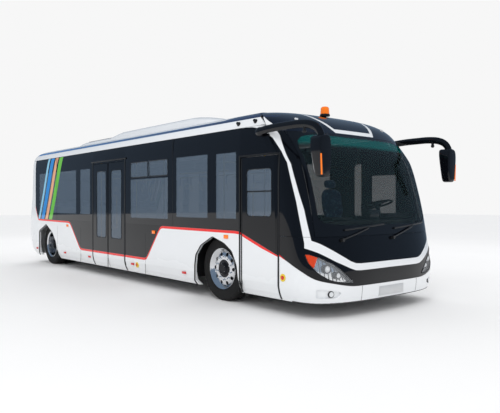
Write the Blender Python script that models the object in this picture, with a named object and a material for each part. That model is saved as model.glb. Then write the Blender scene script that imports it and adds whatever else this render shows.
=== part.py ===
# Airport passenger bus: a low-floor apron bus, in metres, +Z up.
# +X is the bus's left, -Y its front. Everything is laid out from the middle of the front axle on the
# ground, and the empty "bus" shifts it so that the whole vehicle is centred on the world's origin.
import bpy
import bmesh
from bisect import bisect_right
from math import atan2, cos, pi, sin
from mathutils import Matrix, Vector

for thing in list(bpy.data.objects):
    bpy.data.objects.remove(thing, do_unlink=True)

# ---------------------------------------------------------------- driving dimensions
HALF_WIDTH = 1.350
SKIRT_Z = 0.190           # lower edge of the side walls
BAND_BOTTOM = 1.045       # bonded glass band of the sides
BAND_TOP = 2.425
CANTRAIL_Z = 2.430        # side wall meets roof
CROWN_Z = 2.690           # flat middle of the roof
WHEELBASE = 6.520
FLOOR_TOP = 0.360
FLOOR_THICK = 0.030
PANEL = 0.040             # thickness of the moulded end panels
WALL = 0.045              # thickness of side walls and doors
GLASS = 0.006
SEAM = 0.004              # gap between neighbouring panels
DOME_GAP = 0.012          # wider gap behind the dome, whose edge curves under
CORNER_GAP = 0.030        # and between the side walls and the corner pieces above the doors
FIT = 0.0003              # gap between pieces that touch

FRONT_JAMB = -1.310       # front edge of the front doorway
CORNER_Y = FRONT_JAMB - 0.006
TAIL_JOINT = 7.220        # joint between side walls and rear wall
SCREEN_HALF = 1.190       # half width of the windscreen
SCREEN_BOTTOM = 1.000
SCREEN_TOP = 2.333
DOOR_SLOPE_Z = 2.026      # top of the front doorway

TYRE_RADIUS = 0.465
TYRE_WIDTH = 0.255
TYRE_X = 1.1025           # centre of the outer tyres
TWIN_X = 0.9475           # centre plane between the rear twins
TWIN_HALF = 0.155
KINGPIN_X = 0.930
RIM_RADIUS = 0.2985
WHEEL_STEPS = 28          # sides of the turned wheels and tyres
WHEEL_Z = TYRE_RADIUS * cos(pi / WHEEL_STEPS)      # a flat of the tyre lies on the ground

BUS_SHIFT = -2.7975       # y of the front axle once the bus is centred

# Body sections: height, half width, y of the nose, y of the tail
SECTIONS = [
    (0.190, 1.285, -2.035, 7.46),
    (0.270, 1.325, -2.048, 7.53),
    (0.380, 1.350, -2.055, 7.61),
    (0.600, 1.350, -2.045, 7.70),
    (0.950, 1.350, -1.988, 7.73),
    (1.300, 1.350, -1.920, 7.66),
    (1.600, 1.350, -1.845, 7.60),
    (1.990, 1.350, -1.715, 7.57),
    (2.160, 1.348, -1.602, 7.56),
    (2.333, 1.342, -1.464, 7.55),
    (2.430, 1.330, -1.380, 7.53),
    (2.500, 1.310, -1.300, 7.49),
    (2.560, 1.270, -1.205, 7.41),
    (2.610, 1.200, -1.105, 7.30),
    (2.650, 1.070, -0.985, 7.15),
    (2.675, 0.900, -0.865, 6.98),
    (CROWN_Z, 0.700, -0.740, 6.80),
]
NOSE_DEPTH, NOSE_POWER = 0.550, 3.0      # plan curve of the nose
TAIL_DEPTH, TAIL_POWER = 0.200, 2.6      # plan curve of the tail

# Top edge of the bumper: share of the nose curve (1 = start of the straight side), height
BUMPER_EDGE = [(0.00, 0.385), (0.30, 0.385), (0.50, 0.445), (0.61, 0.487), (0.77, 0.583),
               (1.06, 0.713), (1.20, 0.770)]

# Joint between the front dome and the roof and side walls behind it: height, y
DOME_JOINT = [(SCREEN_TOP, -1.108), (CANTRAIL_Z, -1.040), (2.560, -0.900), (CROWN_Z, -0.600)]

# Wheel arches in the side walls, from rear to front: y from the axle, height
FRONT_ARCH = [(0.44, SKIRT_Z), (0.52, 0.25), (0.52, 0.48), (0.49, 0.64), (0.36, 0.79), (0.07, 0.93),
              (-0.21, 0.85), (-0.385, 0.745), (-0.49, 0.56), (-0.525, 0.34), (-0.54, SKIRT_Z)]
REAR_ARCH = [(0.41, SKIRT_Z), (0.47, 0.25), (0.47, 0.76), (0.02, 0.93), (-0.36, 0.745),
             (-0.55, 0.56), (-0.69, 0.24), (-0.72, SKIRT_Z)]

# Doorways in the right side: front y, rear y, top height
FRONT_DOORWAY = (FRONT_JAMB, -0.575, DOOR_SLOPE_Z)
MID_DOORWAY = (2.734, 4.026, 2.176)

# Windows cut in the side walls: front y, rear y, sill, top
RIGHT_WINDOWS = [(-0.480, -0.030, 1.195, 2.107), (0.187, 1.011, 1.195, 2.120),
                 (1.267, 2.488, 1.158, 2.120), (4.170, 4.630, 1.195, 2.100),
                 (4.850, 6.950, 1.195, 2.100)]
LEFT_WINDOWS = [(-1.190, -0.340, 1.195, 2.060), (0.187, 1.011, 1.195, 2.120),
                (1.267, 2.488, 1.158, 2.120), (2.780, 4.000, 1.195, 2.120),
                (4.170, 4.630, 1.195, 2.100), (4.850, 6.950, 1.195, 2.100)]

Y_CUTS = [-1.25, -1.18, -1.10, -1.02, -0.92]
Z_CUTS = [0.27, 0.38, 1.99, 2.16, 2.333]

bus = bpy.data.objects.new("bus", None)
bus.location = (0, BUS_SHIFT, 0)
bpy.context.scene.collection.objects.link(bus)

# name: colour, roughness, metallic
FINISHES = {
    "white_paint": ((0.86, 0.87, 0.88), 0.25, 0.0),
    "black_gloss": ((0.012, 0.013, 0.018), 0.12, 0.0),
    "dark_glass": ((0.02, 0.02, 0.025), 0.05, 0.0),
    "clear_glass": ((0.35, 0.42, 0.40), 0.05, 0.0),
    "dark_steel": ((0.05, 0.05, 0.055), 0.55, 0.6),
    "cast_metal": ((0.18, 0.18, 0.19), 0.5, 0.7),
    "polished_alloy": ((0.80, 0.81, 0.82), 0.18, 1.0),
    "tyre_rubber": ((0.025, 0.025, 0.026), 0.85, 0.0),
    "black_plastic": ((0.03, 0.03, 0.032), 0.5, 0.0),
    "grey_vinyl": ((0.22, 0.23, 0.25), 0.7, 0.0),
    "seat_fabric": ((0.05, 0.09, 0.20), 0.9, 0.0),
    "rail_yellow": ((0.85, 0.60, 0.05), 0.35, 0.0),
    "amber_lens": ((0.95, 0.40, 0.03), 0.15, 0.0),
    "lamp_chrome": ((0.75, 0.76, 0.78), 0.1, 0.6),
}


def finish(name):
    material = bpy.data.materials.new(name)
    colour, roughness, metallic = FINISHES[name]
    material.use_nodes = True
    shader = material.node_tree.nodes["Principled BSDF"]
    shader.inputs["Base Color"].default_value = (*colour, 1)
    shader.inputs["Roughness"].default_value = roughness
    shader.inputs["Metallic"].default_value = metallic
    return material


def piece(name, bm, finish_name, origin=(0, 0, 0)):
    """Turn a bmesh in bus coordinates into a named object whose origin is at the given point."""
    bmesh.ops.recalc_face_normals(bm, faces=bm.faces)
    mesh = bpy.data.meshes.new(name)
    bm.to_mesh(mesh)
    bm.free()
    mesh.transform(Matrix.Translation(-Vector(origin)))
    thing = bpy.data.objects.new(name, mesh)
    bpy.context.scene.collection.objects.link(thing)
    thing.parent = bus
    thing.location = origin
    if finish_name:
        mesh.materials.append(finish(finish_name))
    return thing


def combine(target, bm, operation):
    """Add a Boolean modifier to target with a hidden cutter made from bm, in bus coordinates."""
    cutter = piece(target.name + "_cutter", bm, None)
    cutter.hide_render = True
    cutter.display_type = 'WIRE'
    modifier = target.modifiers.new(operation.lower(), 'BOOLEAN')
    modifier.operation = operation
    modifier.solver = 'EXACT'
    modifier.object = cutter


# ---------------------------------------------------------------- body surface
def section(z):
    """Half width, nose y and tail y of the body at a height, between the table's rows."""
    heights = [row[0] for row in SECTIONS]
    z = min(max(z, heights[0]), heights[-1])
    upper = min(max(bisect_right(heights, z), 1), len(SECTIONS) - 1)
    low, high = SECTIONS[upper - 1], SECTIONS[upper]
    share = (z - low[0]) / (high[0] - low[0])
    return [low[k] + share * (high[k] - low[k]) for k in (1, 2, 3)]


def across(q, power):
    """Half width left at share q of the end curve's depth, as a share of the full half width."""
    return max(0.0, 1.0 - min(1.0, max(0.0, q)) ** power) ** (1.0 / power)


def side_x(y, z):
    """Half width of the body at a place along it and a height."""
    half, nose, tail = section(z)
    nose_start, tail_start = nose + NOSE_DEPTH, tail - TAIL_DEPTH
    if y < nose_start:
        return half * across((nose_start - y) / NOSE_DEPTH, NOSE_POWER)
    if y > tail_start:
        return half * across((y - tail_start) / TAIL_DEPTH, TAIL_POWER)
    return half


def end_point(a, z, tail_end=False):
    """Point on the body's end: a runs from -1 (right) to 1 (left), and on along the sides."""
    half, nose, tail = section(z)
    depth, power = (TAIL_DEPTH, TAIL_POWER) if tail_end else (NOSE_DEPTH, NOSE_POWER)
    sign = 1 if tail_end else -1
    start = tail - depth if tail_end else nose + depth
    side = 1 if a > 0 else -1
    if abs(a) >= 1:
        return Vector((side * half, start - sign * (abs(a) - 1), z))
    angle = abs(a) * pi / 2
    reach = (sin(angle) ** power + cos(angle) ** power) ** (-1 / power)
    return Vector((side * half * reach * sin(angle), start + sign * depth * reach * cos(angle), z))


def share_at_x(x, z, tail_end=False):
    power = TAIL_POWER if tail_end else NOSE_POWER
    ratio = x / section(z)[0]
    return atan2(ratio, across(ratio, power)) / (pi / 2)


def share_at_y(y, z, tail_end=False):
    half, nose, tail = section(z)
    depth, power = (TAIL_DEPTH, TAIL_POWER) if tail_end else (NOSE_DEPTH, NOSE_POWER)
    inside = (tail - depth - y) if tail_end else (y - nose - depth)
    if inside >= 0:
        return 1 + inside
    q = -inside / depth
    return atan2(across(q, power), q) / (pi / 2)


def end_normal(a, z, tail_end):
    step_a, step_z = 0.002, 0.004
    z_low, z_high = max(z - step_z, SECTIONS[0][0]), min(z + step_z, CROWN_Z)
    along = end_point(a + step_a, z, tail_end) - end_point(a - step_a, z, tail_end)
    up = end_point(a, z_high, tail_end) - end_point(a, z_low, tail_end)
    normal = along.cross(up).normalized()
    outward = Vector((0, 1 if tail_end else -1, 0)) if abs(a) < 0.5 else Vector((a, 0, 0))
    return normal if normal.dot(outward) > 0 else -normal


def inner_point(a, z, thick, tail_end, edge_row=False, edge_column=False):
    """Point on a panel's inner face: edges beside a side wall are cut across, level edges stay level."""
    normal = end_normal(a, z, tail_end)
    if edge_column and abs(a) > 0.8:
        normal = Vector((1 if a > 0 else -1, 0, 0))
    elif edge_row:
        normal = Vector((normal.x, normal.y, 0)).normalized()
    return end_point(a, z, tail_end) - thick * normal


def grid_shell(outer, inner, capped=False):
    """Closed shell between two grids of points; capped bridges the last row across the middle."""
    bm = bmesh.new()
    rows, columns = len(outer), len(outer[0])
    sheets = [[[bm.verts.new(p) for p in row] for row in sheet] for sheet in (outer, inner)]
    for sheet in sheets:
        for r in range(rows - 1):
            for c in range(columns - 1):
                bm.faces.new((sheet[r][c], sheet[r][c + 1], sheet[r + 1][c + 1], sheet[r + 1][c]))
        if capped:
            top = sheet[-1]
            for c in range(columns // 2):
                quad = [top[c], top[c + 1], top[columns - 2 - c], top[columns - 1 - c]]
                corners = list(dict.fromkeys(quad))
                if len(corners) > 2:
                    bm.faces.new(corners)
    first, second = sheets
    rim = [(0, c, 0, c + 1) for c in range(columns - 1)]
    rim += [(r, 0, r + 1, 0) for r in range(rows - 1)]
    rim += [(r, columns - 1, r + 1, columns - 1) for r in range(rows - 1)]
    if capped:
        rim += [(rows - 1, 0, rows - 1, columns - 1)]
    else:
        rim += [(rows - 1, c, rows - 1, c + 1) for c in range(columns - 1)]
    for r0, c0, r1, c1 in rim:
        bm.faces.new((first[r0][c0], first[r1][c1], second[r1][c1], second[r0][c0]))
    return bm


def end_patch(a_from, a_to, z_from, z_to, columns, heights, thick, tail_end=False, capped=False):
    """Shell of an end panel. a_from, a_to give the sides at a height; z_from, z_to the edges at a share;
    heights are shares of the way up, or real heights inside the panel when capped."""
    outer, inner = [], []
    for level in heights:
        outer_row, inner_row = [], []
        for c in range(columns + 1):
            share = c / columns
            z = (z_from(0) + z_to(0)) / 2
            for settle in range(6):        # edge heights depend on a, and the sides on z
                a = a_from(z) + share * (a_to(z) - a_from(z))
                z = z_from(a) + level * (z_to(a) - z_from(a))
            edge_row = level == 0 or (level == 1 and not capped)
            outer_row.append(end_point(a, z, tail_end))
            inner_row.append(inner_point(a, z, thick, tail_end, edge_row, share in (0, 1)))
        outer.append(outer_row)
        inner.append(inner_row)
    return grid_shell(outer, inner, capped)


def shares(z_from, z_to, finest=0.35, extra=()):
    """Shares of the way from z_from to z_to where the section table has rows, with long gaps halved."""
    known = sorted([row[0] for row in SECTIONS] + list(extra))
    levels = [z_from] + [z for z in known if z_from + 0.02 < z < z_to - 0.02] + [z_to]
    result = []
    for low, high in zip(levels, levels[1:]):
        parts = max(1, round((high - low) / finest))
        result += [(low + (high - low) * k / parts - z_from) / (z_to - z_from) for k in range(parts)]
    return result + [1.0]


def along_rows(rows, place):
    """Value read between the rows of a two-column table, held level past its ends."""
    if place <= rows[0][0]:
        return rows[0][1]
    for (low, value), (high, next_value) in zip(rows, rows[1:]):
        if place <= high:
            return value + (next_value - value) * (place - low) / (high - low)
    return rows[-1][1]


def bumper_edge(a):
    return along_rows(BUMPER_EDGE, abs(a))


def dome_joint(z):
    return along_rows(DOME_JOINT, z)


def corner_y(z):
    """Rear edge of the windscreen pillars: upright beside the door, leaning back above it."""
    lean = max(0.0, z - DOOR_SLOPE_Z) / (SCREEN_TOP - DOOR_SLOPE_Z)
    return CORNER_Y + (dome_joint(SCREEN_TOP) - CORNER_Y) * lean


# ---------------------------------------------------------------- plain solids
def block(low, high, bm=None):
    bm = bm or bmesh.new()
    size = Vector(high) - Vector(low)
    middle = (Vector(high) + Vector(low)) / 2
    bmesh.ops.create_cube(bm, size=1, matrix=Matrix.Translation(middle) @ Matrix.Diagonal((*size, 1)))
    return bm


def rounded(y0, y1, z0, z1, radius=0.05, steps=3):
    """Rounded rectangle as a list of corner points."""
    points = []
    corners = [(y1 - radius, z1 - radius, 0), (y0 + radius, z1 - radius, 1),
               (y0 + radius, z0 + radius, 2), (y1 - radius, z0 + radius, 3)]
    for cy, cz, quarter in corners:
        for k in range(steps + 1):
            angle = (quarter + k / steps) * pi / 2
            points.append((cy + radius * cos(angle), cz + radius * sin(angle)))
    return points


def slab(outline, holes, start, depth, plane):
    """Extrude an outline with holes. plane names the outline's axes, and depth runs along the third."""
    axes = {"yz": (1, 2, 0), "xz": (0, 2, 1), "xy": (0, 1, 2)}[plane]
    bm = bmesh.new()
    edges = []
    for loop in [outline] + list(holes):
        verts = []
        for u, v in loop:
            place = [0, 0, 0]
            place[axes[0]], place[axes[1]], place[axes[2]] = u, v, start
            verts.append(bm.verts.new(place))
        edges += [bm.edges.new((verts[k - 1], verts[k])) for k in range(len(verts))]
    bmesh.ops.triangle_fill(bm, use_beauty=True, use_dissolve=False, edges=edges)
    grown = bmesh.ops.extrude_face_region(bm, geom=bm.faces[:], use_keep_orig=True)
    move = [0, 0, 0]
    move[axes[2]] = depth
    moved = [item for item in grown["geom"] if isinstance(item, bmesh.types.BMVert)]
    bmesh.ops.translate(bm, vec=move, verts=moved)
    return bm


def follow_body(bm, side, y_cuts=(), z_cuts=()):
    """Slice a flat side slab and lay it on the body's curved side."""
    for axis, places in ((1, y_cuts), (2, z_cuts)):
        for place in places:
            normal = [0, 0, 0]
            normal[axis] = 1
            point = [0, 0, 0]
            point[axis] = place
            bmesh.ops.bisect_plane(bm, geom=bm.verts[:] + bm.edges[:] + bm.faces[:], dist=1e-6,
                                   plane_co=point, plane_no=normal)
    for vert in bm.verts:
        vert.co.x += side * (side_x(vert.co.y, vert.co.z) - HALF_WIDTH)
    return bm


def side_slab(side, outline, holes=(), outside=HALF_WIDTH, thick=WALL, y_cuts=Y_CUTS, z_cuts=Z_CUTS):
    bm = slab(outline, holes, side * (outside - thick), side * thick, "yz")
    return follow_body(bm, side, y_cuts, z_cuts)


def turned(profile, axis_point, steps, side=1):
    """Solid of revolution about a line along X. The profile lists (offset along X, radius)."""
    bm = bmesh.new()
    rings = []
    for offset, radius in profile:
        x = axis_point[0] + side * offset
        if radius == 0:
            rings.append([bm.verts.new((x, axis_point[1], axis_point[2]))])
        else:
            turns = [2 * pi * (k + 0.5) / steps for k in range(steps)]
            rings.append([bm.verts.new((x, axis_point[1] + radius * cos(turn),
                                        axis_point[2] + radius * sin(turn))) for turn in turns])
    pairs = list(zip(rings, rings[1:]))
    if profile[0][1] and profile[-1][1]:
        pairs.append((rings[-1], rings[0]))
    for first, second in pairs:
        for k in range(steps):
            quad = [first[k % len(first)], first[(k + 1) % len(first)],
                    second[(k + 1) % len(second)], second[k % len(second)]]
            corners = list(dict.fromkeys(quad))
            if len(corners) > 2:
                bm.faces.new(corners)
    return bm


def rod(start, end, radius, sides=6, bm=None):
    """Straight round bar between two points."""
    bm = bm or bmesh.new()
    line = Vector(end) - Vector(start)
    turn = line.to_track_quat('Z', 'Y').to_matrix().to_4x4()
    place = Matrix.Translation((Vector(start) + Vector(end)) / 2) @ turn
    bmesh.ops.create_cone(bm, cap_ends=True, segments=sides, radius1=radius, radius2=radius,
                          depth=line.length, matrix=place)
    return bm


def sweep(path, half_across, half_up, sides=10):
    """Oval bar along a path in a plane of constant x, roughly."""
    bm = bmesh.new()
    rings = []
    for k, point in enumerate(path):
        before, after = Vector(path[max(k - 1, 0)]), Vector(path[min(k + 1, len(path) - 1)])
        forward = (after - before).normalized()
        across_axis = Vector((1, 0, 0))
        up_axis = forward.cross(across_axis).normalized()
        rings.append([bm.verts.new(Vector(point) + half_across * cos(2 * pi * s / sides) * across_axis
                                   + half_up * sin(2 * pi * s / sides) * up_axis) for s in range(sides)])
    for first, second in zip(rings, rings[1:]):
        for s in range(sides):
            bm.faces.new((first[s], first[(s + 1) % sides], second[(s + 1) % sides], second[s]))
    bm.faces.new(rings[0])
    bm.faces.new(rings[-1])
    return bm


# ---------------------------------------------------------------- front and rear panels
def end_panels():
    def right_edge(z):
        return -share_at_y(CORNER_Y, z)

    def left_edge(z):
        return share_at_y(CORNER_Y, z)

    bumper = end_patch(right_edge, left_edge, lambda a: SKIRT_Z, bumper_edge, 36,
                       [0, 0.35, 0.7, 1], PANEL)
    piece("front_bumper", bumper, "white_paint")

    panel = end_patch(right_edge, left_edge, lambda a: bumper_edge(a) + SEAM,
                      lambda a: SCREEN_BOTTOM - SEAM, 36, [0, 0.3, 0.65, 1], PANEL)
    front_panel = piece("front_panel", panel, "black_gloss")
    # headlight outline seen from the front, on the left side: x, z
    lamp = [(1.300, 0.795), (1.262, 0.790), (1.165, 0.748), (0.990, 0.655), (0.860, 0.550),
            (0.715, 0.430), (0.868, 0.432), (1.071, 0.476), (1.201, 0.560), (1.279, 0.676)]
    middle = Vector((sum(p[0] for p in lamp), sum(p[1] for p in lamp))) / len(lamp)
    for side, word in ((1, "left"), (-1, "right")):
        opening = [(side * x, z) for x, z in lamp]
        combine(front_panel, slab(opening, [], -2.3, 1.0, "xz"), 'DIFFERENCE')
        lens = []
        for x, z in lamp:
            inward = (middle - Vector((x, z))).normalized() * 0.003
            lens.append((side * (x + inward.x), z + inward.y))
        edges = [side * 0.28, side * 0.93]
        body = end_patch(lambda z: edges[0], lambda z: edges[1], lambda a: 0.40, lambda a: 0.82, 20,
                         [0, 0.5, 1], 0.085)
        headlight = piece("headlight_" + word, body, "lamp_chrome")
        combine(headlight, slab(lens, [], -2.3, 1.0, "xz"), 'INTERSECT')

    for side, word in ((1, "left"), (-1, "right")):
        def inner_edge(z, side=side):
            return side * share_at_x(SCREEN_HALF + SEAM, z)

        def outer_edge(z, side=side):
            return side * share_at_y(corner_y(z), z)
        pillar = end_patch(inner_edge, outer_edge, lambda a: SCREEN_BOTTOM, lambda a: SCREEN_TOP - SEAM, 6,
                           shares(SCREEN_BOTTOM, SCREEN_TOP - SEAM, extra=[DOOR_SLOPE_Z]), PANEL)
        piece("windscreen_pillar_" + word, pillar, "black_gloss")

    screen = end_patch(lambda z: -share_at_x(SCREEN_HALF, z), lambda z: share_at_x(SCREEN_HALF, z),
                       lambda a: SCREEN_BOTTOM, lambda a: SCREEN_TOP - SEAM, 18,
                       shares(SCREEN_BOTTOM, SCREEN_TOP - SEAM), 0.010)
    piece("windscreen", screen, "clear_glass")

    dome_levels = shares(SCREEN_TOP, CROWN_Z)
    dome = end_patch(lambda z: -share_at_y(dome_joint(z) - SEAM, z),
                     lambda z: share_at_y(dome_joint(z) - SEAM, z),
                     lambda a: SCREEN_TOP, lambda a: CROWN_Z, 28, dome_levels, PANEL, capped=True)
    piece("front_dome", dome, "black_gloss")

    roof_levels = shares(CANTRAIL_Z, CROWN_Z)
    piece("roof_panel", roof_shell(roof_levels), "white_paint")

    def tail_right(z):
        return -share_at_y(TAIL_JOINT + SEAM, z, True)

    def tail_left(z):
        return share_at_y(TAIL_JOINT + SEAM, z, True)
    rear = end_patch(tail_right, tail_left, lambda a: SKIRT_Z, lambda a: CANTRAIL_Z - SEAM, 20,
                     shares(SKIRT_Z, CANTRAIL_Z - SEAM), PANEL, True)
    rear_wall = piece("rear_wall", rear, "white_paint")
    lid = (0.80, 0.50, 1.35)             # half width, bottom and top of the engine opening
    window = (0.95, 1.55, 2.20)
    for half, low, high in (lid, window):
        combine(rear_wall, block((-half, 7.25, low), (half, 7.9, high)), 'DIFFERENCE')

    def within(half):
        return (lambda z: -share_at_x(half, z, True)), (lambda z: share_at_x(half, z, True))
    lid_gap, lid_free_gap = 0.006, 0.012
    left, right = within(lid[0] - lid_gap)
    hinge = (0, section(lid[2])[2] + 0.006, lid[2])
    cover = end_patch(left, right, lambda a: lid[1] + lid_free_gap, lambda a: lid[2] - lid_gap, 12,
                      shares(lid[1] + lid_free_gap, lid[2] - lid_gap), 0.035, True)
    piece("engine_lid", cover, "white_paint", origin=hinge)
    left, right = within(window[0] - 0.003)
    pane = end_patch(left, right, lambda a: window[1] + 0.003, lambda a: window[2] - 0.003, 10,
                     shares(window[1] + 0.003, window[2] - 0.003), GLASS, True)
    piece("rear_window", pane, "dark_glass")


def roof_shell(levels):
    """Roof from the dome joint round the tail: straight sides, then the tail's curve."""
    outer, inner = [], []
    bends = 20
    for level in levels:
        z = CANTRAIL_Z + level * (CROWN_Z - CANTRAIL_Z)
        start = share_at_y(dome_joint(z) + DOME_GAP, z, True)
        places = [-start, -1 - 0.5 * (start - 1)]
        places += [-1 + 2 * k / bends for k in range(bends + 1)]
        places += [1 + 0.5 * (start - 1), start]
        outer.append([end_point(a, z, True) for a in places])
        inner.append([inner_point(a, z, PANEL, True, level == 0, a in (places[0], places[-1]))
                      for a in places])
    return grid_shell(outer, inner, capped=True)


# ---------------------------------------------------------------- side walls, glass and doors
def arch(points, axle_y):
    return [(axle_y + y, z) for y, z in points]


def glass_band(side):
    """Outlines of a side's bonded glass: (name, outline)."""
    tail = [(7.030, BAND_BOTTOM), (7.190, 1.49), (7.190, 2.02), (7.150, BAND_TOP)]
    if side < 0:
        front = [(-0.569, BAND_TOP), (-0.569, BAND_BOTTOM), (2.728, BAND_BOTTOM), (2.728, BAND_TOP)]
        rear = [(4.032, BAND_TOP), (4.032, BAND_BOTTOM)] + tail
        return [("right_glass_front", front), ("right_glass_rear", rear)]
    front = [(-1.280, 1.99), (-1.280, BAND_BOTTOM), (1.118, BAND_BOTTOM), (1.118, BAND_TOP),
             (-0.780, BAND_TOP), (-0.980, 2.34), (-1.130, 2.20)]
    rear = [(1.124, BAND_TOP), (1.124, BAND_BOTTOM)] + tail
    return [("left_glass_front", front), ("left_glass_rear", rear)]


def shrink(outline, amount):
    """Move each point of an outline towards its middle box by a fixed amount on each axis."""
    ys, zs = [p[0] for p in outline], [p[1] for p in outline]
    mid_y, mid_z = (min(ys) + max(ys)) / 2, (min(zs) + max(zs)) / 2
    return [(y - amount * (1 if y > mid_y else -1), z - amount * (1 if z > mid_z else -1))
            for y, z in outline]


def side_walls():
    upper_front = [(corner_y(DOOR_SLOPE_Z) + SEAM, DOOR_SLOPE_Z),
                   (corner_y(SCREEN_TOP) + CORNER_GAP, SCREEN_TOP - SEAM),
                   (dome_joint(CANTRAIL_Z) + CORNER_GAP, CANTRAIL_Z - SEAM),
                   (TAIL_JOINT, CANTRAIL_Z - SEAM)]
    rear_part = [(TAIL_JOINT, SKIRT_Z)] + arch(REAR_ARCH, WHEELBASE)
    mid_front, mid_rear, mid_top = MID_DOORWAY
    door_front, door_rear, door_top = FRONT_DOORWAY
    right = rear_part + [(mid_rear, SKIRT_Z), (mid_rear, mid_top), (mid_front, mid_top),
                         (mid_front, SKIRT_Z)] + arch(FRONT_ARCH, 0)
    right += [(door_rear, SKIRT_Z), (door_rear, door_top)] + upper_front
    left = rear_part + arch(FRONT_ARCH, 0) + [(CORNER_Y + SEAM, SKIRT_Z)] + upper_front
    for side, word, outline, windows in ((-1, "right", right, RIGHT_WINDOWS), (1, "left", left, LEFT_WINDOWS)):
        holes = [rounded(*window) for window in windows]
        wall = piece(word + "_side_wall", side_slab(side, outline, holes), "white_paint")
        for name, band in glass_band(side):
            recess = side_slab(side, shrink(band, -0.002), (), HALF_WIDTH + 0.05, 0.05 + GLASS + 0.001,
                               Y_CUTS, Z_CUTS[2:])
            combine(wall, recess, 'DIFFERENCE')
            piece(name, side_slab(side, band, (), HALF_WIDTH, GLASS, Y_CUTS, Z_CUTS[2:]), "dark_glass")


def doors():
    hinge_gap, free_gap, top_gap = 0.006, 0.016, 0.008
    hinge_x = -(HALF_WIDTH + 0.010)
    bottom = SKIRT_Z
    # name, hinge y, direction of the leaf from its hinge, leaf width, top, window (y from hinge, z)
    mid_front, mid_rear, mid_top = MID_DOORWAY
    door_front, door_rear, door_top = FRONT_DOORWAY
    mid_leaf = (mid_rear - mid_front) / 2 - hinge_gap - 0.013
    front_leaf = door_rear - door_front - hinge_gap - free_gap
    leaves = [
        ("front_door", door_front, 1, front_leaf, door_top, (0.115, 0.595, 1.240, 1.855)),
        ("mid_door_front_leaf", mid_front, 1, mid_leaf, mid_top, (0.110, 0.510, 0.760, 2.020)),
        ("mid_door_rear_leaf", mid_rear, -1, mid_leaf, mid_top, (0.170, 0.560, 0.760, 2.020)),
    ]
    for name, hinge_y, way, width, top, window in leaves:
        hinged = hinge_y + way * hinge_gap
        free = hinged + way * width
        low_y, high_y = min(hinged, free), max(hinged, free)
        near, far = sorted((hinge_y + way * window[0], hinge_y + way * window[1]))
        outline = [(low_y, bottom), (high_y, bottom), (high_y, top - top_gap), (low_y, top - top_gap)]
        opening = rounded(near, far, window[2], window[3])
        y_cuts = [y for y in Y_CUTS if low_y < y < high_y]
        z_cuts = [z for z in Z_CUTS if z < top - 0.05]
        leaf = side_slab(-1, outline, [opening], HALF_WIDTH, WALL, y_cuts, z_cuts)
        hinge = (hinge_x, hinge_y, bottom)
        piece(name, leaf, "black_gloss", origin=hinge)
        pane = rounded(near + 0.002, far - 0.002, window[2] + 0.002, window[3] - 0.002)
        glass = side_slab(-1, pane, (), HALF_WIDTH - 0.002, GLASS, y_cuts, [])
        piece(name + "_glass", glass, "dark_glass", origin=hinge)


# ---------------------------------------------------------------- underframe, floor and inside
def underframe():
    rail = [(-1.65, 0.250), (5.90, 0.250), (6.06, 0.560), (7.15, 0.560), (7.15, 0.650), (5.98, 0.650),
            (5.82, 0.325), (-1.65, 0.325)]
    rail_in, rail_wide = 0.420, 0.080
    frame = piece("chassis_frame", slab(rail, [], -rail_in - rail_wide, rail_wide, "yz"), "dark_steel")
    combine(frame, slab(rail, [], rail_in, rail_wide, "yz"), 'UNION')
    # cross members: middle y, half length, low, high, half width
    members = [(-1.55, 0.05, 0.255, 0.320, 0.90), (-0.80, 0.04, 0.255, 0.320, 1.20),
               (0.85, 0.04, 0.255, 0.320, 1.20), (2.20, 0.04, 0.255, 0.320, 1.20),
               (3.40, 0.04, 0.255, 0.320, 1.20), (4.60, 0.04, 0.255, 0.320, 1.20),
               (5.45, 0.04, 0.255, 0.320, 1.20), (6.79, 0.04, 0.570, 0.640, 0.50)]
    ladder = bmesh.new()
    for y, half_long, low, high, half in members:
        block((-half, y - half_long, low), (half, y + half_long, high), ladder)
    combine(frame, ladder, 'UNION')

    floor_low = FLOOR_TOP - FLOOR_THICK
    nose = [(-1.28, -1.40), (-1.20, -1.66), (-0.90, -1.86), (0.90, -1.86), (1.20, -1.66), (1.28, -1.40)]
    well_in, well_half = 0.625, 0.605
    outline = nose + [(1.28, -well_half), (well_in, -well_half), (well_in, well_half), (1.28, well_half),
                      (1.28, 5.745), (-1.28, 5.745), (-1.28, well_half), (-well_in, well_half),
                      (-well_in, -well_half), (-1.28, -well_half)]
    piece("cabin_floor", slab(outline, [], floor_low, FLOOR_THICK, "xy"), "grey_vinyl")

    deck_low, deck_top, skin = 0.975, 1.005, 0.020
    platform = piece("rear_platform", block((-1.28, 5.75, deck_low), (1.28, 7.33, deck_top)), "grey_vinyl")
    combine(platform, block((-1.28, 5.75, FLOOR_TOP + FIT), (1.28, 5.77, deck_low + 0.01)), 'UNION')
    for side in (1, -1):
        walls = block((min(side * 0.60, side * 0.62), 5.76, 0.620),
                      (max(side * 0.60, side * 0.62), 7.04, deck_low + 0.01))
        combine(platform, walls, 'UNION')

    for side, word in ((1, "left"), (-1, "right")):
        low_x, high_x = sorted((side * 0.630, side * 1.275))
        well = piece("wheel_box_" + word, block((low_x, -0.580, 0.300), (high_x, 0.580, 1.005)), "grey_vinyl")
        in_low, in_high = sorted((side * 0.645, side * 1.40))
        combine(well, block((in_low, -0.566, 0.20), (in_high, 0.566, 0.990)), 'DIFFERENCE')

    piece("engine", block((-0.38, 6.86, 0.330), (0.38, 7.44, 0.960)), "cast_metal")


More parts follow.
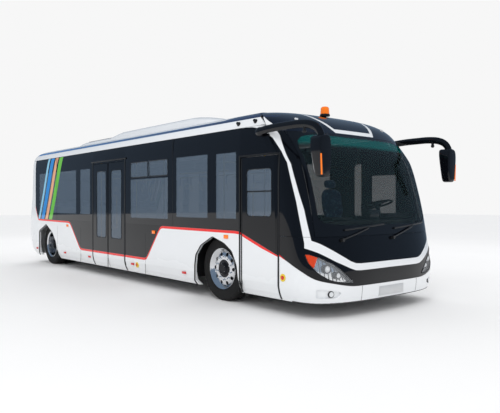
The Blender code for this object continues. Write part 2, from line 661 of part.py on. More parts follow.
def inside():
    plan = [(-1.12, -1.67), (-0.90, -1.77), (-0.45, -1.84), (0.45, -1.84), (0.90, -1.77), (1.12, -1.67),
            (1.12, -1.52), (-1.12, -1.52)]
    piece("dashboard", slab(plan, [], 0.820, 0.360, "xy"), "black_plastic")

    stage_top = 0.700
    piece("driver_platform", block((0.16, -1.50, FLOOR_TOP + FIT), (1.22, -0.615, stage_top)), "grey_vinyl")

    seat_x, seat_half = 0.720, 0.240
    seat_side = [(-0.96, stage_top + FIT), (-0.66, stage_top + FIT), (-0.66, 1.030), (-0.40, 1.030),
                 (-0.29, 1.780), (-0.36, 1.800), (-0.47, 1.160), (-0.96, 1.160), (-1.02, 1.110),
                 (-1.00, 1.030), (-0.96, 1.030)]
    seat = slab(seat_side, [], seat_x - seat_half, 2 * seat_half, "yz")
    piece("driver_seat", seat, "seat_fabric")

    hub = Vector((seat_x, -1.270, 1.390))
    foot = Vector((seat_x, -1.460, stage_top + 0.020))
    tilt = (hub - foot).normalized()
    ring_radius, ring_thick, ring_steps, tube_steps = 0.225, 0.016, 24, 6
    ring = bmesh.new()
    turn = tilt.to_track_quat('Z', 'Y').to_matrix()
    rings = []
    for k in range(ring_steps):
        around = 2 * pi * k / ring_steps
        rings.append([ring.verts.new(hub + turn @ Vector((
            (ring_radius + ring_thick * cos(2 * pi * t / tube_steps)) * cos(around),
            (ring_radius + ring_thick * cos(2 * pi * t / tube_steps)) * sin(around),
            ring_thick * sin(2 * pi * t / tube_steps)))) for t in range(tube_steps)])
    for k in range(ring_steps):
        first, second = rings[k], rings[(k + 1) % ring_steps]
        for t in range(tube_steps):
            ring.faces.new((first[t], first[(t + 1) % tube_steps], second[(t + 1) % tube_steps], second[t]))
    wheel = piece("steering_wheel", ring, "black_plastic")
    left_spoke, right_spoke = hub + turn @ Vector((-ring_radius, 0, 0)), hub + turn @ Vector((ring_radius, 0, 0))
    combine(wheel, rod(left_spoke, right_spoke, 0.013, 6), 'UNION')
    combine(wheel, rod(foot, hub + tilt * 0.02, 0.040), 'UNION')

    bench = [(5.84, 1.0053), (6.30, 1.0053), (6.42, 1.950), (6.34, 1.970), (6.22, 1.480), (5.80, 1.480),
             (5.78, 1.360), (5.84, 1.340)]
    piece("rear_bench", slab(bench, [], -1.22, 2.44, "yz"), "seat_fabric")

    post_x, post_radius, rail_z, ceiling = 0.450, 0.017, 1.950, 2.600
    posts_y = [0.95, 2.45, 4.30, 5.55]
    first = rod((-post_x, posts_y[0], FLOOR_TOP + FIT), (-post_x, posts_y[0], ceiling), post_radius)
    rails = piece("grab_rails", first, "rail_yellow")
    others = bmesh.new()
    for side in (1, -1):
        for y in posts_y:
            if (side, y) != (-1, posts_y[0]):
                rod((side * post_x, y, FLOOR_TOP + FIT), (side * post_x, y, ceiling), post_radius, 6, others)
    combine(rails, others, 'UNION')
    lines = bmesh.new()
    for side in (1, -1):
        rod((side * post_x, posts_y[0] - 0.10, rail_z), (side * post_x, posts_y[-1] + 0.10, rail_z), 0.0155, 6, lines)
    combine(rails, lines, 'UNION')
    bridges = bmesh.new()
    for y in (posts_y[0], posts_y[-1]):
        rod((-post_x - 0.02, y, 2.10), (post_x + 0.02, y, 2.10), 0.0155, 6, bridges)
    combine(rails, bridges, 'UNION')


# ---------------------------------------------------------------- roof gear, mirrors
def roof_gear():
    base = CROWN_Z + FIT
    cover = [(0.90, base), (1.15, 2.860), (1.75, 2.930), (4.25, 2.930), (4.80, 2.850), (6.15, 2.850),
             (6.42, 2.770), (6.52, base)]
    half = 0.660
    bm = slab(cover, [], -half, 2 * half, "yz")
    for vert in bm.verts:
        if vert.co.z > base + 0.01:
            vert.co.x *= 0.88
    piece("roof_air_conditioner", bm, "white_paint")

    beacon_y, beacon_base = -0.880, 2.684
    profile = [(0.000, 0.0), (0.000, 0.075), (0.030, 0.075), (0.034, 0.068), (0.128, 0.062),
               (0.140, 0.045), (0.142, 0.0)]
    bm = turned(profile, (0, 0, 0), 24)
    bmesh.ops.rotate(bm, cent=(0, 0, 0), matrix=Matrix.Rotation(-pi / 2, 3, 'Y'), verts=bm.verts)
    bmesh.ops.translate(bm, vec=(0, beacon_y, beacon_base), verts=bm.verts)
    piece("beacon", bm, "amber_lens")

    arm_x, arm_half = 1.385, 0.028
    # mirror arm seen from the side: y, z
    arm = [(-1.00, 2.335), (-1.15, 2.352), (-1.40, 2.362), (-1.65, 2.362), (-1.82, 2.350), (-1.95, 2.315),
           (-2.03, 2.255), (-2.065, 2.180), (-2.070, 2.10)]
    # mirror head seen from the front: x, z
    head = [(1.262, 2.10), (1.280, 2.185), (1.330, 2.205), (1.420, 2.190), (1.455, 2.145), (1.460, 2.02),
            (1.425, 1.760), (1.395, 1.715), (1.300, 1.715), (1.272, 1.750)]
    for side, word in ((1, "left"), (-1, "right")):
        shell = slab([(side * x, z) for x, z in head], [], -2.135, 0.140, "xz")
        mirror = piece("mirror_" + word, shell, "black_gloss")
        path = [(side * (arm_x - 0.02 * k / (len(arm) - 1)), y, z) for k, (y, z) in enumerate(arm)]
        combine(mirror, sweep(path, arm_half, 0.052), 'UNION')


# ---------------------------------------------------------------- axles and wheels
def tyre_profile(middle):
    half = TYRE_WIDTH / 2
    outer = [(0.094, 0.2705), (0.0965, 0.300), (0.116, 0.312), (half, 0.375), (0.118, 0.443),
             (0.090, TYRE_RADIUS)]
    return [(middle + x, r) for x, r in outer] + [(middle - x, r) for x, r in reversed(outer)]


def running_gear():
    wheel_z = WHEEL_Z
    # left half of the dropped front beam seen from the front: x, z
    beam = [(0.640, 0.165), (0.760, 0.310), (0.820, 0.400), (0.868, 0.400), (0.868, 0.530),
            (0.800, 0.530), (0.620, 0.240)]
    outline = beam + [(-x, z) for x, z in reversed(beam)]
    piece("front_axle_beam", slab(outline, [], -0.055, 0.110, "xz"), "cast_metal")

    for side, word in ((1, "left"), (-1, "right")):
        kingpin = (side * KINGPIN_X, 0, wheel_z)
        hub_centre = (side * TYRE_X, 0, wheel_z)
        drum = [(-0.160, 0), (-0.160, 0.050), (-0.095, 0.050), (-0.095, 0.200), (0.022, 0.200), (0.022, 0)]
        knuckle = piece("steering_knuckle_" + word, turned(drum, hub_centre, 24, side), "cast_metal",
                        origin=kingpin)
        pin = rod((kingpin[0], 0, wheel_z - 0.110), (kingpin[0], 0, wheel_z + 0.110), 0.055, 16)
        combine(knuckle, pin, 'UNION')

        rim = [(0.028, 0), (0.028, 0.150), (0.055, 0.232), (-0.108, 0.248),
               (-0.118, RIM_RADIUS), (-0.100, RIM_RADIUS), (-0.096, 0.270), (0.096, 0.270),
               (0.100, RIM_RADIUS), (0.118, RIM_RADIUS), (0.076, 0.240), (0.076, 0.150),
               (0.122, 0.080), (0.122, 0)]
        piece("front_rim_" + word, turned(rim, hub_centre, WHEEL_STEPS, side), "polished_alloy", origin=hub_centre)
        piece("front_tyre_" + word, turned(tyre_profile(0), hub_centre, WHEEL_STEPS, side), "tyre_rubber",
              origin=hub_centre)

    axle_y = WHEELBASE
    for side, word in ((1, "left"), (-1, "right")):
        hub_centre = (side * TWIN_X, axle_y, wheel_z)
        flange = [(0.012, 0.236), (0.262, 0.262), (0.273, RIM_RADIUS), (0.255, RIM_RADIUS), (0.251, 0.270),
                  (0.059, 0.270), (0.055, RIM_RADIUS), (0.037, RIM_RADIUS), (0.030, 0.262)]
        rim = [(0.110, 0), (0.110, 0.090), (0.012, 0.120)] + flange
        rim += [(-x, r) for x, r in reversed(flange[1:])] + [(-0.012, 0.236), (-0.012, 0)]
        piece("rear_rims_" + word, turned(rim, hub_centre, WHEEL_STEPS, side), "polished_alloy", origin=hub_centre)
        piece("rear_tyres_" + word, turned(twin_profile(), hub_centre, WHEEL_STEPS, side), "tyre_rubber",
              origin=hub_centre)

    # rear axle seen in section from its middle outwards: x, radius
    half_axle = [(0.0, 0.190), (0.12, 0.180), (0.22, 0.100), (0.26, 0.075), (0.560, 0.075), (0.700, 0.075),
                 (0.700, 0.200), (TWIN_X - 0.018, 0.200), (TWIN_X - 0.018, 0.0)]
    profile = [(-x, r) for x, r in reversed(half_axle[1:])] + half_axle
    piece("rear_axle", turned(profile, (0, axle_y, wheel_z), 16), "cast_metal")


def twin_profile():
    """Section of the rear twin tyres, joined by a thin ring between their beads."""
    bridge_low, bridge_high = 0.3005, 0.3120
    outer_tyre = tyre_profile(TWIN_HALF)   # outer bead, sidewall, tread, inner sidewall, inner bead
    inner_bead = outer_tyre[-1]
    upper = outer_tyre[:-3]                # down the inner sidewall to just above the bead
    loop = upper + [(0.0300, bridge_high), (-0.0300, bridge_high)]
    loop += [(-x, r) for x, r in reversed(upper)]
    loop += [(-inner_bead[0], inner_bead[1]), (-inner_bead[0] + 0.0025, bridge_low),
             (inner_bead[0] - 0.0025, bridge_low), inner_bead]
    return loop


end_panels()
side_walls()
doors()
underframe()
inside()
roof_gear()
running_gear()
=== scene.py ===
# Looks for the airport passenger bus: paint, glass, lamps, wheels, mirrors, seats and trim.
from math import atan2, cos, pi, radians, sin

import bmesh
import bpy
from mathutils import Matrix, Vector


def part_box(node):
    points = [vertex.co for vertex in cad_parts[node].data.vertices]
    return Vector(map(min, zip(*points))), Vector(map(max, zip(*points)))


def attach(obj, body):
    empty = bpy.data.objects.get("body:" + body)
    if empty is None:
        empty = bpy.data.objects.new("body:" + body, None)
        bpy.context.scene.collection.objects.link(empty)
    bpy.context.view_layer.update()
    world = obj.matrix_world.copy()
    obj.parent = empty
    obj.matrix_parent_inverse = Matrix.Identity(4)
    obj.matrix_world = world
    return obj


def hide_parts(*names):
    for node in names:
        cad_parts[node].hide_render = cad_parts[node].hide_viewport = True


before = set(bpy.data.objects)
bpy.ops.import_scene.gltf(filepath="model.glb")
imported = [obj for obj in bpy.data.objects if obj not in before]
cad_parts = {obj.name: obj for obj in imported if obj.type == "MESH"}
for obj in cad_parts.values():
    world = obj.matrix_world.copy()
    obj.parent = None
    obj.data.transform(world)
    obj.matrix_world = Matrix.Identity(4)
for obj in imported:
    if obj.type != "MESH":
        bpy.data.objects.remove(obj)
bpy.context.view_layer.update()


tyreLow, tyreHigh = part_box("front_tyre_right")
rearLow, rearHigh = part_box("rear_tyres_right")
axleY = (tyreLow.y + tyreHigh.y) / 2
wheelBase = (rearLow.y + rearHigh.y) / 2 - axleY
axleZ = (tyreLow.z + tyreHigh.z) / 2
tyreRadius = axleZ            # the frame's tyres rest on flats, so these touch the ground there
halfWidth = 1.350
mainBody = "bus_body"
madePieces = []
bothSides = ((1, "left"), (-1, "right"))

# Body sections: height, half width, y of the nose, y of the tail, from the front axle
bodyRows = [
    (0.190, 1.285, -2.035, 7.46), (0.270, 1.325, -2.048, 7.53), (0.380, 1.350, -2.055, 7.61),
    (0.600, 1.350, -2.045, 7.70), (0.950, 1.350, -1.988, 7.73), (1.300, 1.350, -1.920, 7.66),
    (1.600, 1.350, -1.845, 7.60), (1.990, 1.350, -1.715, 7.57), (2.160, 1.348, -1.602, 7.56),
    (2.333, 1.342, -1.464, 7.55), (2.430, 1.330, -1.380, 7.53), (2.500, 1.310, -1.300, 7.49),
    (2.560, 1.270, -1.205, 7.41), (2.610, 1.200, -1.105, 7.30), (2.650, 1.070, -0.985, 7.15),
    (2.675, 0.900, -0.865, 6.98), (2.690, 0.700, -0.740, 6.80)]
noseCurve = {"depth": 0.550, "power": 3.0}
tailCurve = {"depth": 0.200, "power": 2.6}
crownZ = bodyRows[-1][0]
cantZ = 2.430
screenTop = 2.333
screenLow = 1.000
screenHalf = 1.190
tailJoint = 7.220
cornerY = -1.316
bumperRows = [(0.00, 0.385), (0.30, 0.385), (0.50, 0.445), (0.61, 0.487), (0.77, 0.583), (1.06, 0.713),
              (1.20, 0.770)]
domeRows = [(2.333, -1.108), (2.430, -1.040), (2.560, -0.900), (2.690, -0.600)]

# Livery lines: y from the front axle and height, or height and y
rightEdgeRows = [(-1.62, 0.640), (-1.418, 0.713), (-0.640, 0.990), (-0.560, 1.022), (-0.450, 1.030),
                 (1.440, 1.039), (1.500, 1.020), (1.560, 0.955), (1.890, 0.550), (1.950, 0.492),
                 (2.020, 0.480), (4.560, 0.484), (4.650, 0.500), (4.720, 0.560), (5.120, 0.965),
                 (5.190, 1.015), (5.280, 1.026), (6.960, 1.040), (7.040, 1.052), (7.090, 1.100),
                 (7.290, 1.470), (7.330, 1.560), (7.400, 2.020), (7.430, 2.440)]
leftEdgeRows = [row for row in rightEdgeRows if row[0] < 1.45 or row[0] > 5.25]
ribbonRearRows = [(0.50, -1.750), (0.922, -1.720), (1.427, -1.596), (1.914, -1.441), (2.060, -1.350),
                  (2.243, -1.192), (2.330, -1.060), (2.390, -0.930), (2.417, -0.800), (2.430, -0.560),
                  (2.440, 9.0)]
ribbonFrontRows = [(0.50, -1.900), (0.946, -1.782), (1.331, -1.682), (1.897, -1.485), (2.274, -1.265),
                   (2.437, -1.116), (2.520, -0.980), (2.570, -0.898), (2.690, -0.700)]
veeLowRows = [(0.0, 0.579), (0.600, 0.576), (0.691, 0.582), (0.780, 0.612), (0.988, 0.703), (1.180, 0.810),
              (1.291, 0.863), (1.350, 0.900)]
veeTopRows = [(0.0, 0.662), (0.590, 0.660), (0.678, 0.666), (0.760, 0.695), (0.908, 0.778), (1.147, 0.917),
              (1.230, 0.955), (1.350, 1.080)]


# ---- the body's surface
def steadySlopes(places, values):
    steps = [(values[k + 1] - values[k]) / (places[k + 1] - places[k]) for k in range(len(places) - 1)]
    slopes = [steps[0]]
    for before, after in zip(steps, steps[1:]):
        slopes.append(0 if before * after <= 0 else 2 * before * after / (before + after))
    return slopes + [steps[-1]]


bodyHeights = [row[0] for row in bodyRows]
bodyColumns = [[row[k] for row in bodyRows] for k in (1, 2, 3)]
bodySlopes = [steadySlopes(bodyHeights, column) for column in bodyColumns]


def section(z):
    z = min(max(z, bodyHeights[0]), bodyHeights[-1])
    k = max(i for i, height in enumerate(bodyHeights[:-1]) if height <= z)
    gap = bodyHeights[k + 1] - bodyHeights[k]
    t = (z - bodyHeights[k]) / gap
    found = []
    for column, slope in zip(bodyColumns, bodySlopes):
        found.append(column[k] * (1 + 2 * t) * (1 - t) ** 2 + slope[k] * gap * t * (1 - t) ** 2
                     + column[k + 1] * t * t * (3 - 2 * t) + slope[k + 1] * gap * t * t * (t - 1))
    return found


def endCurve(tail):
    return tailCurve if tail else noseCurve


def across(q, power):
    return max(0.0, 1.0 - min(1.0, max(0.0, q)) ** power) ** (1.0 / power)


# a runs from -1 at the right side to 1 at the left round an end, then in metres along the side
def endPoint(a, z, tail=False):
    half, nose, tailY = section(z)
    depth, power = endCurve(tail)["depth"], endCurve(tail)["power"]
    way = 1 if tail else -1
    start = tailY - depth if tail else nose + depth
    side = 1 if a > 0 else -1
    if abs(a) >= 1:
        return Vector((side * half, axleY + start - way * (abs(a) - 1), z))
    angle = abs(a) * pi / 2
    reach = (sin(angle) ** power + cos(angle) ** power) ** (-1 / power)
    return Vector((side * half * reach * sin(angle), axleY + start + way * depth * reach * cos(angle), z))


def shareAtX(x, z, tail=False):
    power = endCurve(tail)["power"]
    ratio = x / section(z)[0]
    return atan2(ratio, across(abs(ratio), power)) / (pi / 2)


def shareAtY(y, z, tail=False):
    nose, tailY = section(z)[1:]
    depth, power = endCurve(tail)["depth"], endCurve(tail)["power"]
    inside = (tailY - depth - y) if tail else (y - nose - depth)
    if inside >= 0:
        return 1 + inside
    q = -inside / depth
    return atan2(across(q, power), q) / (pi / 2)


def endNormal(a, z, tail=False):
    zLow, zHigh = max(z - 0.004, bodyHeights[0]), min(z + 0.004, crownZ)
    along = endPoint(a + 0.002, z, tail) - endPoint(a - 0.002, z, tail)
    normal = along.cross(endPoint(a, zHigh, tail) - endPoint(a, zLow, tail)).normalized()
    outward = Vector((0, 1 if tail else -1, 0)) if abs(a) < 0.5 else Vector((a, 0, 0))
    return normal if normal.dot(outward) > 0 else -normal


def noseAt(x, z, lift=0.0):
    a = shareAtX(x, z)
    return endPoint(a, z) + endNormal(a, z) * lift


def easedRows(rows):
    places = [row[0] for row in rows]
    values = [row[1] for row in rows]
    slopes = steadySlopes(places, values)

    def value(place):
        place = min(max(place, places[0]), places[-1])
        k = max(i for i, known in enumerate(places[:-1]) if known <= place)
        gap = places[k + 1] - places[k]
        t = (place - places[k]) / gap
        return (values[k] * (1 + 2 * t) * (1 - t) ** 2 + slopes[k] * gap * t * (1 - t) ** 2
                + values[k + 1] * t * t * (3 - 2 * t) + slopes[k + 1] * gap * t * t * (t - 1))
    return value


bumperCurve = easedRows(bumperRows)
domeJoint = easedRows(domeRows)


def bumperEdge(a):
    return bumperCurve(abs(a))


# ---- shader expressions
class Wire:
    # one socket; sums, products and steps on it add the Math nodes they need
    def __init__(self, paint, socket):
        self.paint = paint
        self.socket = socket

    def maths(self, operation, first, second=None, clamp=False):
        inputs = {0: first} if second is None else {0: first, 1: second}
        return self.paint.node("Math", {"operation": operation, "use_clamp": clamp}, inputs)

    def __add__(self, other):
        return self.maths("ADD", self, other)

    def __radd__(self, other):
        return self.maths("ADD", other, self)

    def __sub__(self, other):
        return self.maths("SUBTRACT", self, other)

    def __rsub__(self, other):
        return self.maths("SUBTRACT", other, self)

    def __mul__(self, other):
        return self.maths("MULTIPLY", self, other)

    def __rmul__(self, other):
        return self.maths("MULTIPLY", other, self)

    def __truediv__(self, other):
        return self.maths("DIVIDE", self, other)

    def size(self):
        return self.maths("ABSOLUTE", self)

    def most(self, other):
        return self.maths("MAXIMUM", self, other)

    def least(self, other):
        return self.maths("MINIMUM", self, other)

    def fraction(self):
        return self.maths("FRACT", self)

    def step(self, width=0.002):
        return self.maths("ADD", self / width, 0.5, True)


class Paint:
    def __init__(self, name, **fixed):
        self.material = bpy.data.materials.new(name)
        self.material.use_nodes = True
        self.tree = self.material.node_tree
        self.shader = self.tree.nodes["Principled BSDF"]
        self.set(**fixed)

    def set(self, **values):
        for word, value in values.items():
            name = "".join(" " + c if c.isupper() else c for c in word).title().replace("Specular Level",
                                                                                        "Specular IOR Level")
            self.feed(self.shader.inputs[name], value)
        return self

    def feed(self, socket, value):
        if isinstance(value, Wire):
            self.tree.links.new(value.socket, socket)
        elif isinstance(value, (tuple, list)) and socket.type == "RGBA":
            socket.default_value = (*value, 1) if len(value) == 3 else value
        else:
            socket.default_value = value

    def node(self, kind, settings=None, inputs=None, output=0):
        made = self.tree.nodes.new("ShaderNode" + kind)
        for key, value in (settings or {}).items():
            if key == "stops":
                ramp = made.color_ramp
                for place, grey in value[1:-1]:
                    ramp.elements.new(min(max(place, 0), 1)).color = (grey, grey, grey, 1)
                ramp.elements[0].color = (*[value[0][1]] * 3, 1)
                ramp.elements[len(value) - 1].color = (*[value[-1][1]] * 3, 1)
            else:
                setattr(made, key, value)
        for key, value in (inputs or {}).items():
            self.feed(made.inputs[key], value)
        return Wire(self, made.outputs[output])

    def place(self):
        spot = self.node("TexCoord", output=3)
        found = []
        for k in range(3):
            found.append(self.node("SeparateXYZ", None, {0: spot}, k))
        return found[0], found[1] - axleY, found[2]

    def line(self, along, rows):
        low, high = rows[0][0], rows[-1][0]
        bottom, top = min(row[1] for row in rows), max(row[1] for row in rows)
        stops = [((place - low) / (high - low), (value - bottom) / (top - bottom)) for place, value in rows]
        return self.node("ValToRGB", {"stops": stops},
                         {0: (along - low) / (high - low)}) * (top - bottom) + bottom

    def mix(self, share, first, second):
        return self.node("Mix", {"data_type": "RGBA"}, {0: share, 6: first, 7: second}, 2)

    def noise(self, scale, detail=3.0, roughness=0.5, spot=None):
        inputs = {"Scale": scale, "Detail": detail, "Roughness": roughness}
        inputs["Vector"] = spot or self.node("TexCoord", output=3)
        return self.node("TexNoise", None, inputs)

    def bump(self, height, strength=0.2, distance=0.001):
        return self.set(normal=self.node("Bump", None,
                                         {"Height": height, "Strength": strength, "Distance": distance}))


tones = {
    "white": (0.84, 0.86, 0.88), "black": (0.002, 0.0024, 0.004), "red": (0.86, 0.010, 0.006),
    "navy": (0.003, 0.010, 0.055), "sky": (0.05, 0.20, 0.52), "dome": (0.002, 0.004, 0.012)}


def sidePaint():
    paint = Paint("side_livery", coatRoughness=0.03, specularLevel=0.30)
    x, y, z = paint.place()
    right = (0 - x).step()
    edge = paint.line(y, rightEdgeRows) * right + paint.line(y, leftEdgeRows) * (1 - right)
    overEdge = (z - edge).step(0.003)
    dark = overEdge * (y - paint.line(z, ribbonRearRows)).step(0.004) * (cantZ + 0.004 - z).step(0.003)
    taper = ((y + 1.50) / 0.5).least(1).most(0) * 0.034 + 0.004
    stripe = (edge - z).step(0.002) * (z - edge + taper).step(0.002) * (cantZ - 0.004 - z).step(0.002)
    swell = ((-0.05 - y) / 0.8).least(1).most(0) * 0.12
    navy = (z - 2.543).step(0.003) * (2.592 + swell - z).step(0.003)
    grain = paint.noise(0.9, 2.0)
    dust = paint.noise(2.6, 5.0) * ((0.62 - z) / 0.42).least(1).most(0)
    base = paint.mix(dust * 0.22, tones["white"], (0.50, 0.48, 0.45))
    lineTone = paint.mix(((y + 1.0) / 8.0).least(1).most(0), tones["navy"], tones["sky"])
    base = paint.mix(navy * (x.size() - 0.9).step(0.02).most((y - 6.9).step(0.02)), base, lineTone)
    base = paint.mix(stripe, base, tones["red"])
    base = paint.mix(dark, base, tones["black"])
    paint.set(baseColor=base, roughness=0.20 + grain * 0.06 - dark * 0.17 + dust * 0.25,
              coatWeight=0.5 - dark * 0.4)
    return paint.bump(grain, 0.05, 0.002).material


def frontPaint():
    paint = Paint("front_livery", coatRoughness=0.03, specularLevel=0.30)
    x, y, z = paint.place()
    wide = x.size()
    vee = (z - paint.line(wide, veeLowRows)).step(0.003) * (paint.line(wide, veeTopRows) - z).step(0.003)
    vee = vee * (paint.line(z, ribbonRearRows) - y).step(0.004)
    band = (y - paint.line(z, ribbonFrontRows)).step(0.004) * (paint.line(z, ribbonRearRows) - y).step(0.004)
    white = vee.most(band * (z - 0.90).step(0.003))
    grain = paint.noise(1.3, 3.0)
    edge = paint.line(y, rightEdgeRows)
    tip = ((y + 1.47) / 0.16).least(1).most(0) * 0.030
    stripe = (edge + 0.002 + tip - z).step(0.002) * (z - edge + 0.01).step(0.002) * (y + 1.46).step(0.003)
    base = paint.mix(stripe, paint.mix(white, tones["black"], tones["white"]), tones["red"])
    paint.set(baseColor=base, roughness=0.03 + white * 0.17 + grain * 0.03,
              coatWeight=0.1 + white * 0.4)
    return paint.material


def domePaint():
    paint = Paint("dome_livery", coatRoughness=0.02, specularLevel=0.40)
    x, y, z = paint.place()
    wide = x.size()
    cove = (y - paint.line(z, ribbonFrontRows)).step(0.004) * (2.548 - z).step(0.003)
    behind = (y - paint.line(z, ribbonRearRows)).step(0.004) * (cantZ - z).step(0.003)
    white = cove * (1 - behind)
    spread = (z - 2.36) * 0.80
    outer = (0.41 + spread - wide).step(0.003) * (z - 2.354).step(0.003)
    inner = (0.345 + spread - wide).step(0.003) * (z - 2.410).step(0.003)
    navy = (0.011 - (z - 2.560).size()).step(0.003) * (wide - 0.9).step(0.02) * (y + 1.05).step(0.02)
    white = white.most(outer - inner)
    grain = paint.noise(1.1, 3.0)
    base = paint.mix(white, tones["dome"], tones["white"])
    paint.set(baseColor=paint.mix(navy, base, tones["navy"]), roughness=0.04 + white * 0.16 + grain * 0.04,
              coatWeight=0.15 + white * 0.35)
    return paint.material


def rearPaint():
    paint = Paint("rear_livery", coatRoughness=0.04, specularLevel=0.30)
    x, y, z = paint.place()
    surround = (1.14 - x.size()).step(0.003) * (z - 1.465).step(0.003) * (2.285 - z).step(0.003)
    navy = (z - 2.543).step(0.003) * (2.592 - z).step(0.003)
    line = (0.012 - (z - 1.44).size()).step(0.003) * (1.16 - x.size()).step(0.01)
    grain = paint.noise(0.9, 2.0)
    dust = paint.noise(2.2, 5.0) * ((0.95 - z) / 0.75).least(1).most(0)
    base = paint.mix(dust * 0.30, tones["white"], (0.46, 0.44, 0.41))
    base = paint.mix(line, base, tones["red"])
    base = paint.mix(navy, base, tones["sky"])
    base = paint.mix(surround, base, tones["black"])
    paint.set(baseColor=base, roughness=0.20 + grain * 0.06 + dust * 0.25 - surround * 0.16,
              coatWeight=0.5 - surround * 0.4)
    return paint.material


def plainPaint(name, colour, roughness=0.3, metallic=0.0, scale=6.0, spread=0.12, wear=0.06, bump=0.0,
               **more):
    paint = Paint(name, metallic=metallic, **more)
    grain = paint.noise(scale, 5.0, 0.55)
    darker = tuple(c * (1 - spread) for c in colour)
    lighter = tuple(min(1, c * (1 + spread)) for c in colour)
    paint.set(baseColor=paint.mix(grain, darker, lighter), roughness=roughness - wear / 2 + grain * wear)
    if bump:
        paint.bump(paint.noise(scale * 40, 3.0), 0.3, bump)
    return paint.material


# front and rear edge, bottom and top of each window; the last rows are on one side only
windowRows = [(-0.480, -0.030, 1.195, 2.107), (0.187, 1.011, 1.195, 2.120), (1.267, 1.870, 1.860, 2.120),
              (1.890, 2.488, 1.860, 2.120), (1.267, 2.488, 1.158, 1.825), (4.170, 4.630, 1.195, 2.100),
              (4.850, 6.950, 1.195, 2.100), (-1.200, -0.700, 1.240, 1.860)]
doorPanes = [(2.844, 3.244, 0.760, 2.020), (3.468, 3.854, 0.760, 2.020)]
leftPanes = [(2.720, 3.950, 1.195, 2.100)]


def bandGlass():
    # bonded glass: dark, with a fan of coloured ribbons at the rear of each side
    paint = Paint("band_glass", specularLevel=0.45)
    x, y, z = paint.place()
    slant = y + z * 0.60
    fade = (7.12 - y).step(0.01)
    base = tones["black"]
    shown = None
    # each ribbon: where it starts along the slanted line, how wide, colour
    ribbons = [(6.76, 0.190, (0.16, 0.55, 0.05)), (7.02, 0.150, (0.86, 0.44, 0.24)),
               (7.24, 0.190, (0.03, 0.27, 0.70)), (7.50, 0.110, (0.30, 0.62, 0.82))]
    for start, wide, colour in ribbons:
        lean = z * z * 0.045
        here = (slant - lean - start).step(0.004) * (start + wide - slant + lean).step(0.004) * fade
        base = paint.mix(here, base, colour)
        shown = here if shown is None else shown.most(here)
    smear = paint.noise(1.4, 4.0)
    # the windows behind the band are see-through and carry a painted reflection, a pale blue-grey colour, so
    # that they read paler than its printed border
    windows = None
    for rows, side in ((windowRows, 1), (doorPanes, (0 - x).step()), (leftPanes, x.step())):
        for y0, y1, z0, z1 in rows:
            inLength = (y - y0).step(0.006) * (y1 - y).step(0.006)
            here = inLength * (z - z0).step(0.006) * (z1 - z).step(0.006) * side
            windows = here if windows is None else windows.most(here)
    seeThroughAndPaintedSheen = windows * (1 - shown)
    # painted reflection: the see-through panes get a pale blue-grey base colour
    base = paint.mix(seeThroughAndPaintedSheen, base, (0.115, 0.155, 0.205))
    paint.set(baseColor=base, alpha=1 - seeThroughAndPaintedSheen * 0.36, roughness=0.015 + smear * 0.02 + seeThroughAndPaintedSheen * 0.02)
    return paint.material


def screenGlass():
    paint = Paint("windscreen_glass", roughness=0.0, specularLevel=0.45)
    x, y, z = paint.place()
    wide = x.size()
    sides = [(1.00, 1.120), (1.178, 1.130), (1.717, 1.131), (2.10, 1.150), (2.20, 1.120), (2.262, 1.040),
             (2.295, 0.86)]
    lows = [(0.0, 1.130), (0.70, 1.132), (0.95, 1.145), (1.08, 1.175), (1.15, 1.260), (1.20, 1.40)]
    clear = (paint.line(z, sides) - wide).step(0.006) * (z - paint.line(wide, lows)).step(0.006)
    clear = clear * (2.297 - z).step(0.006)
    tint = ((z - 2.14) / 0.05).least(1).most(0)
    base = paint.mix(tint, (0.014, 0.026, 0.028), (0.001, 0.095, 0.090))
    base = paint.mix(1 - clear, base, tones["black"])
    paint.set(baseColor=base, alpha=1 - clear * (0.72 - tint * 0.32))
    return paint.material


def lensGlass():
    paint = Paint("lamp_lens", roughness=0.03, coatWeight=0.5, coatRoughness=0.01)
    x, y, z = paint.place()
    amber = (x.size() + (z - 0.6) * 0.35 - 1.248).step(0.004)
    ribs = ((x * 130).fraction() - 0.5).size() * amber
    paint.set(baseColor=paint.mix(amber, (0.80, 0.84, 0.88), (0.90, 0.075, 0.010)), alpha=0.10 + amber * 0.55)
    return paint.bump(ribs, 0.3, 0.002).material


def rubberPaint():
    paint = Paint("tyre_rubber", specularLevel=0.35)
    grain = paint.noise(30.0, 6.0, 0.6)
    dust = paint.noise(3.0, 4.0)
    paint.set(baseColor=paint.mix(dust * 0.45, (0.006, 0.006, 0.0065), (0.035, 0.033, 0.030)),
              roughness=0.72 + grain * 0.2)
    return paint.bump(grain, 0.35, 0.0015).material


def fabricPaint(name, colour, second):
    paint = Paint(name, roughness=0.9, sheenWeight=0.35, sheenRoughness=0.4)
    weave = paint.node("TexWave", {"wave_type": "BANDS", "bands_direction": "DIAGONAL"},
                       {"Scale": 160.0, "Distortion": 1.0, "Detail": 1.0}, 1)
    spots = paint.noise(28.0, 2.0)
    fleck = (spots - 0.62).step(0.03)
    paint.set(baseColor=paint.mix(fleck, colour, second))
    return paint.bump(weave + spots * 0.5, 0.5, 0.0012).material


def lampPaint(name, colour, glow=0.0):
    paint = Paint(name, roughness=0.08, coatWeight=0.6, coatRoughness=0.02)
    z = paint.place()[2]
    ribs = ((z * 140).fraction() - 0.5).size() * 2
    paint.set(baseColor=paint.mix(ribs * 0.35, colour, tuple(c * 0.5 for c in colour)))
    if glow:
        paint.set(emissionColor=paint.mix(ribs * 0.3, colour, tuple(c * 0.6 for c in colour)),
                  emissionStrength=glow)
    return paint.bump(ribs, 0.25, 0.001).material


